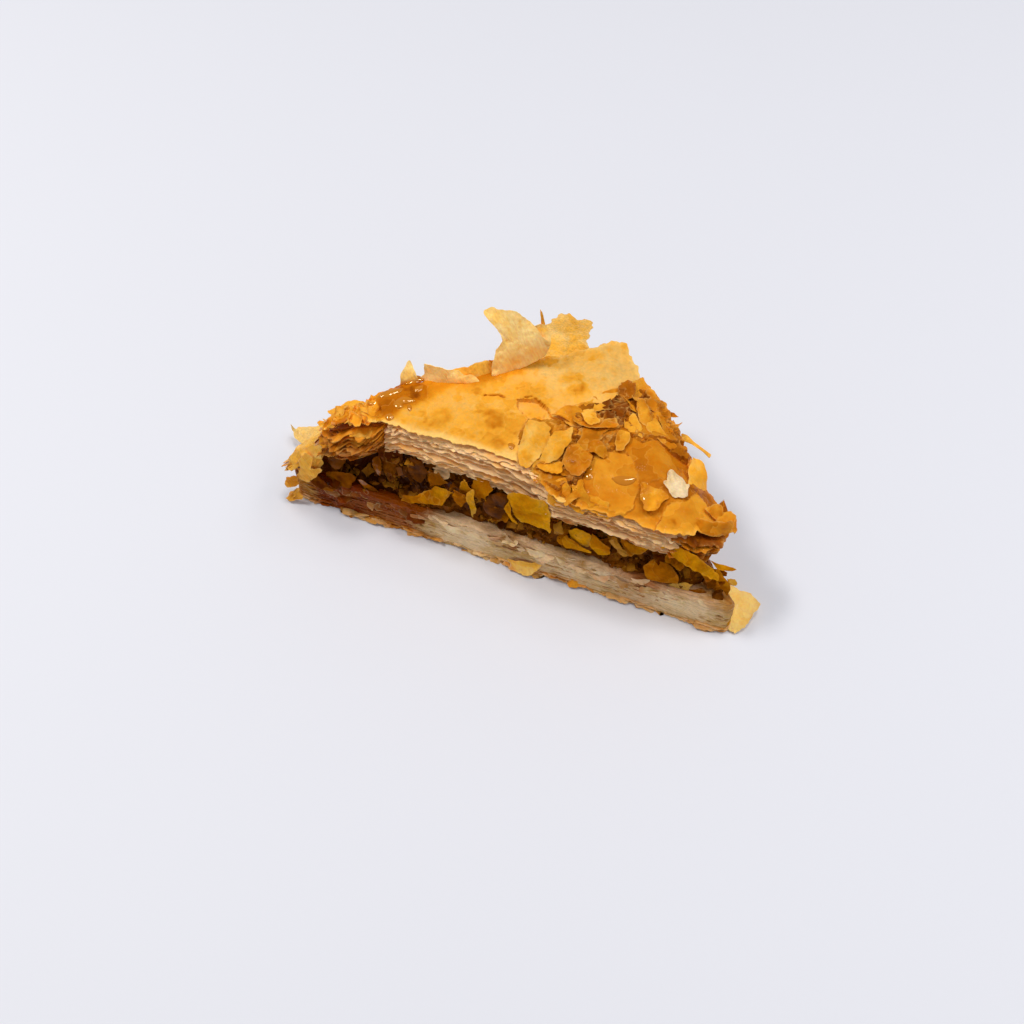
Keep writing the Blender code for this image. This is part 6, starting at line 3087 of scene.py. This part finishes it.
@dataclass(frozen=True)
class Lamp:
    """A square lamp that shines at the middle of the frame, placed in metres."""

    name: str
    place: Corner
    size: float
    power: float
    colour: Colour

    def hang(self) -> None:
        """Makes the lamp."""
        lamp = bpy.data.lights.new(self.name, "AREA")
        lamp.size = self.size
        lamp.energy = self.power
        lamp.color = self.colour
        holder = bpy.data.objects.new(self.name, lamp)
        holder.location = self.place
        direction = -np.array(self.place) / np.linalg.norm(self.place)
        turn = math.atan2(direction[0], -direction[1])
        holder.rotation_euler = (math.acos(-direction[2]), 0.0, turn)
        bpy.context.scene.collection.objects.link(holder)


@dataclass(frozen=True)
class Studio:
    """A pale floor, soft lamps and a camera that looks down on the cut side."""

    aim: Corner = (-2.24, 14.3, 0.0)
    distance: float = 332.8
    azimuth: float = 18.85
    elevation: float = 57.3
    lens: float = 45.21
    sensor_width: float = 36.0
    clip: tuple[float, float] = (0.01, 20.0)
    floor_size: float = 6000.0
    surroundings: Colour = (0.93, 0.95, 1.0)
    surroundings_power: float = 0.31
    lamps: tuple[Lamp, ...] = (
        Lamp("key", (-0.45, -0.08, 0.85), 0.24, 6.2, (1.0, 0.985, 0.96)),
        Lamp("top", (0.08, 0.15, 1.0), 0.18, 2.3, (1.0, 0.99, 0.98)),
        Lamp("side", (0.6, 0.1, 0.9), 0.7, 6.8, (1.0, 1.0, 1.0)),
        Lamp("front", (0.2, -0.9, 0.55), 0.7, 6.2, (1.0, 0.985, 0.97)),
    )

    def build(self, datum: Array) -> None:
        """Makes the floor, the lamps and the camera.

        Args:
            datum: where the middle of the cut side stands, in metres.
        """
        self.lay_floor()
        self.light()
        turn, tilt = math.radians(self.azimuth), math.radians(self.elevation)
        back = np.array([math.sin(turn) * math.cos(tilt), -math.cos(turn) * math.cos(tilt), math.sin(tilt)])
        camera = bpy.data.cameras.new("camera")
        camera.lens = self.lens
        camera.sensor_width = self.sensor_width
        camera.clip_start, camera.clip_end = self.clip
        holder = bpy.data.objects.new("camera", camera)
        holder.location = (np.array(self.aim) + back * self.distance) * MM + datum
        holder.rotation_euler = (math.pi / 2 - tilt, 0.0, turn)
        bpy.context.scene.collection.objects.link(holder)
        bpy.context.scene.camera = holder

    def lay_floor(self) -> None:
        """Makes the pale floor."""
        half = self.floor_size * MM / 2
        mesh = bpy.data.meshes.new("floor")
        corners = [(-half, -half, 0.0), (half, -half, 0.0), (half, half, 0.0), (-half, half, 0.0)]
        mesh.from_pydata(corners, [], [(0, 1, 2, 3)])
        mesh.materials.append(FLOOR.material())
        floor = bpy.data.objects.new("floor", mesh)
        bpy.context.scene.collection.objects.link(floor)

    def light(self) -> None:
        """Makes the lamps and the pale surroundings."""
        world = bpy.data.worlds.new("studio")
        world.use_nodes = True
        background = world.node_tree.nodes["Background"]
        background.inputs["Color"].default_value = (*self.surroundings, 1.0)
        background.inputs["Strength"].default_value = self.surroundings_power
        bpy.context.scene.world = world
        bpy.context.scene.view_settings.view_transform = "Standard"
        for lamp in self.lamps:
            lamp.hang()


# --- everything together ----------------------------------------------------------------------------


def main() -> None:
    """Builds every piece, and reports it."""
    logging.basicConfig(level=logging.INFO, format="%(message)s")
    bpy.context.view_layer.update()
    slab = Slab()
    datum = slab.datum(frame["record"])
    kitchen = Kitchen(tuple(datum))
    Studio().build(datum)

    crust_look, baked_look, pressed_look = CRUST.material(), BAKED.material(), PRESSED.material()
    loose_look, amber_look, nut_look = LOOSE.material(), AMBER.material(), NUTS.material()
    ragged = RaggedSide(slab)

    crust = CrustTop(slab)
    kitchen.serve("crust", crust.skin(), crust_look, Slot.CRUST, "top_pastry")
    broken = BrokenCrust(slab)
    kitchen.serve("crust_scraps", broken.skin(), crust_look, Slot.CRUST)
    kitchen.serve("syrup_beads", SyrupBeads(crust).skin(), SYRUP.material(), Slot.CRUST)
    kitchen.serve("pale_scrap", broken.pale_skin(), pressed_look, Slot.CRUST)
    baked = BakedStack(slab)
    kitchen.serve("baked_sheets", baked.skin(), baked_look, Slot.CRUST)
    kitchen.serve("baked_sheet_edges", baked.standing_edges(kitchen, baked_look), baked_look, Slot.CRUST)
    kitchen.serve("baked_tatters", ragged.in_crust(), baked_look, Slot.CRUST)
    kitchen.serve("corner_frill", joined(ragged.corner.skins()), crust_look, Slot.CRUST)
    kitchen.serve("front_frills", ragged.along_front(), baked_look, Slot.CRUST)

    pressed = PressedStack(slab)
    kitchen.serve("pressed_sheets", pressed.skin(), pressed_look, Slot.PRESSED, "bottom_pastry")
    name = "pressed_sheet_edges"
    edges = pressed.standing_edges(kitchen, name, pressed.edges, pressed.edges_rise, pressed_look)
    kitchen.serve(name, edges, pressed_look, Slot.PRESSED)
    name = "base_sheet_edges"
    edges = pressed.standing_edges(
        kitchen, name, pressed.base_edges, pressed.base_rise, baked_look, pressed.base_browner
    )
    kitchen.serve(name, edges, baked_look, Slot.PRESSED)
    kitchen.serve("pressed_tatters", ragged.on_pressed(ragged.pressed), pressed_look, Slot.PRESSED)
    kitchen.serve("base_tatters", ragged.on_pressed(ragged.base), baked_look, Slot.PRESSED)

    filling = NutFilling(slab)
    core = filling.skin()
    kitchen.serve("filling", core, nut_look, Slot.FILLING, "nut_filling")
    ground = kitchen.mesh("ground", core)
    for name, strewn in (("chopped_nuts", filling.nuts), ("nut_specks", filling.specks)):
        kitchen.serve(name, strewn.mesh(name, ground, nut_look), nut_look, Slot.FILLING)
    sheets, nuts = FaceScraps().skins()
    kitchen.serve("face_scraps", sheets, amber_look, Slot.FILLING)
    kitchen.serve("face_nuts", nuts, nut_look, Slot.FILLING)
    kitchen.serve("filling_leaves", ragged.in_filling(), amber_look, Slot.FILLING)

    leaves, lips = TornLeaves().skins()
    kitchen.serve("torn_leaves", leaves, loose_look, Slot.CRUST)
    kitchen.serve("hanging_lips", lips, crust_look, Slot.CRUST)
    tip = LeftTip()
    kitchen.serve("left_tip", tip.skin(), loose_look, Slot.CRUST)
    kitchen.serve("left_frills", tip.soaked(), crust_look, Slot.CRUST)


if __name__ == "__main__":
    main()
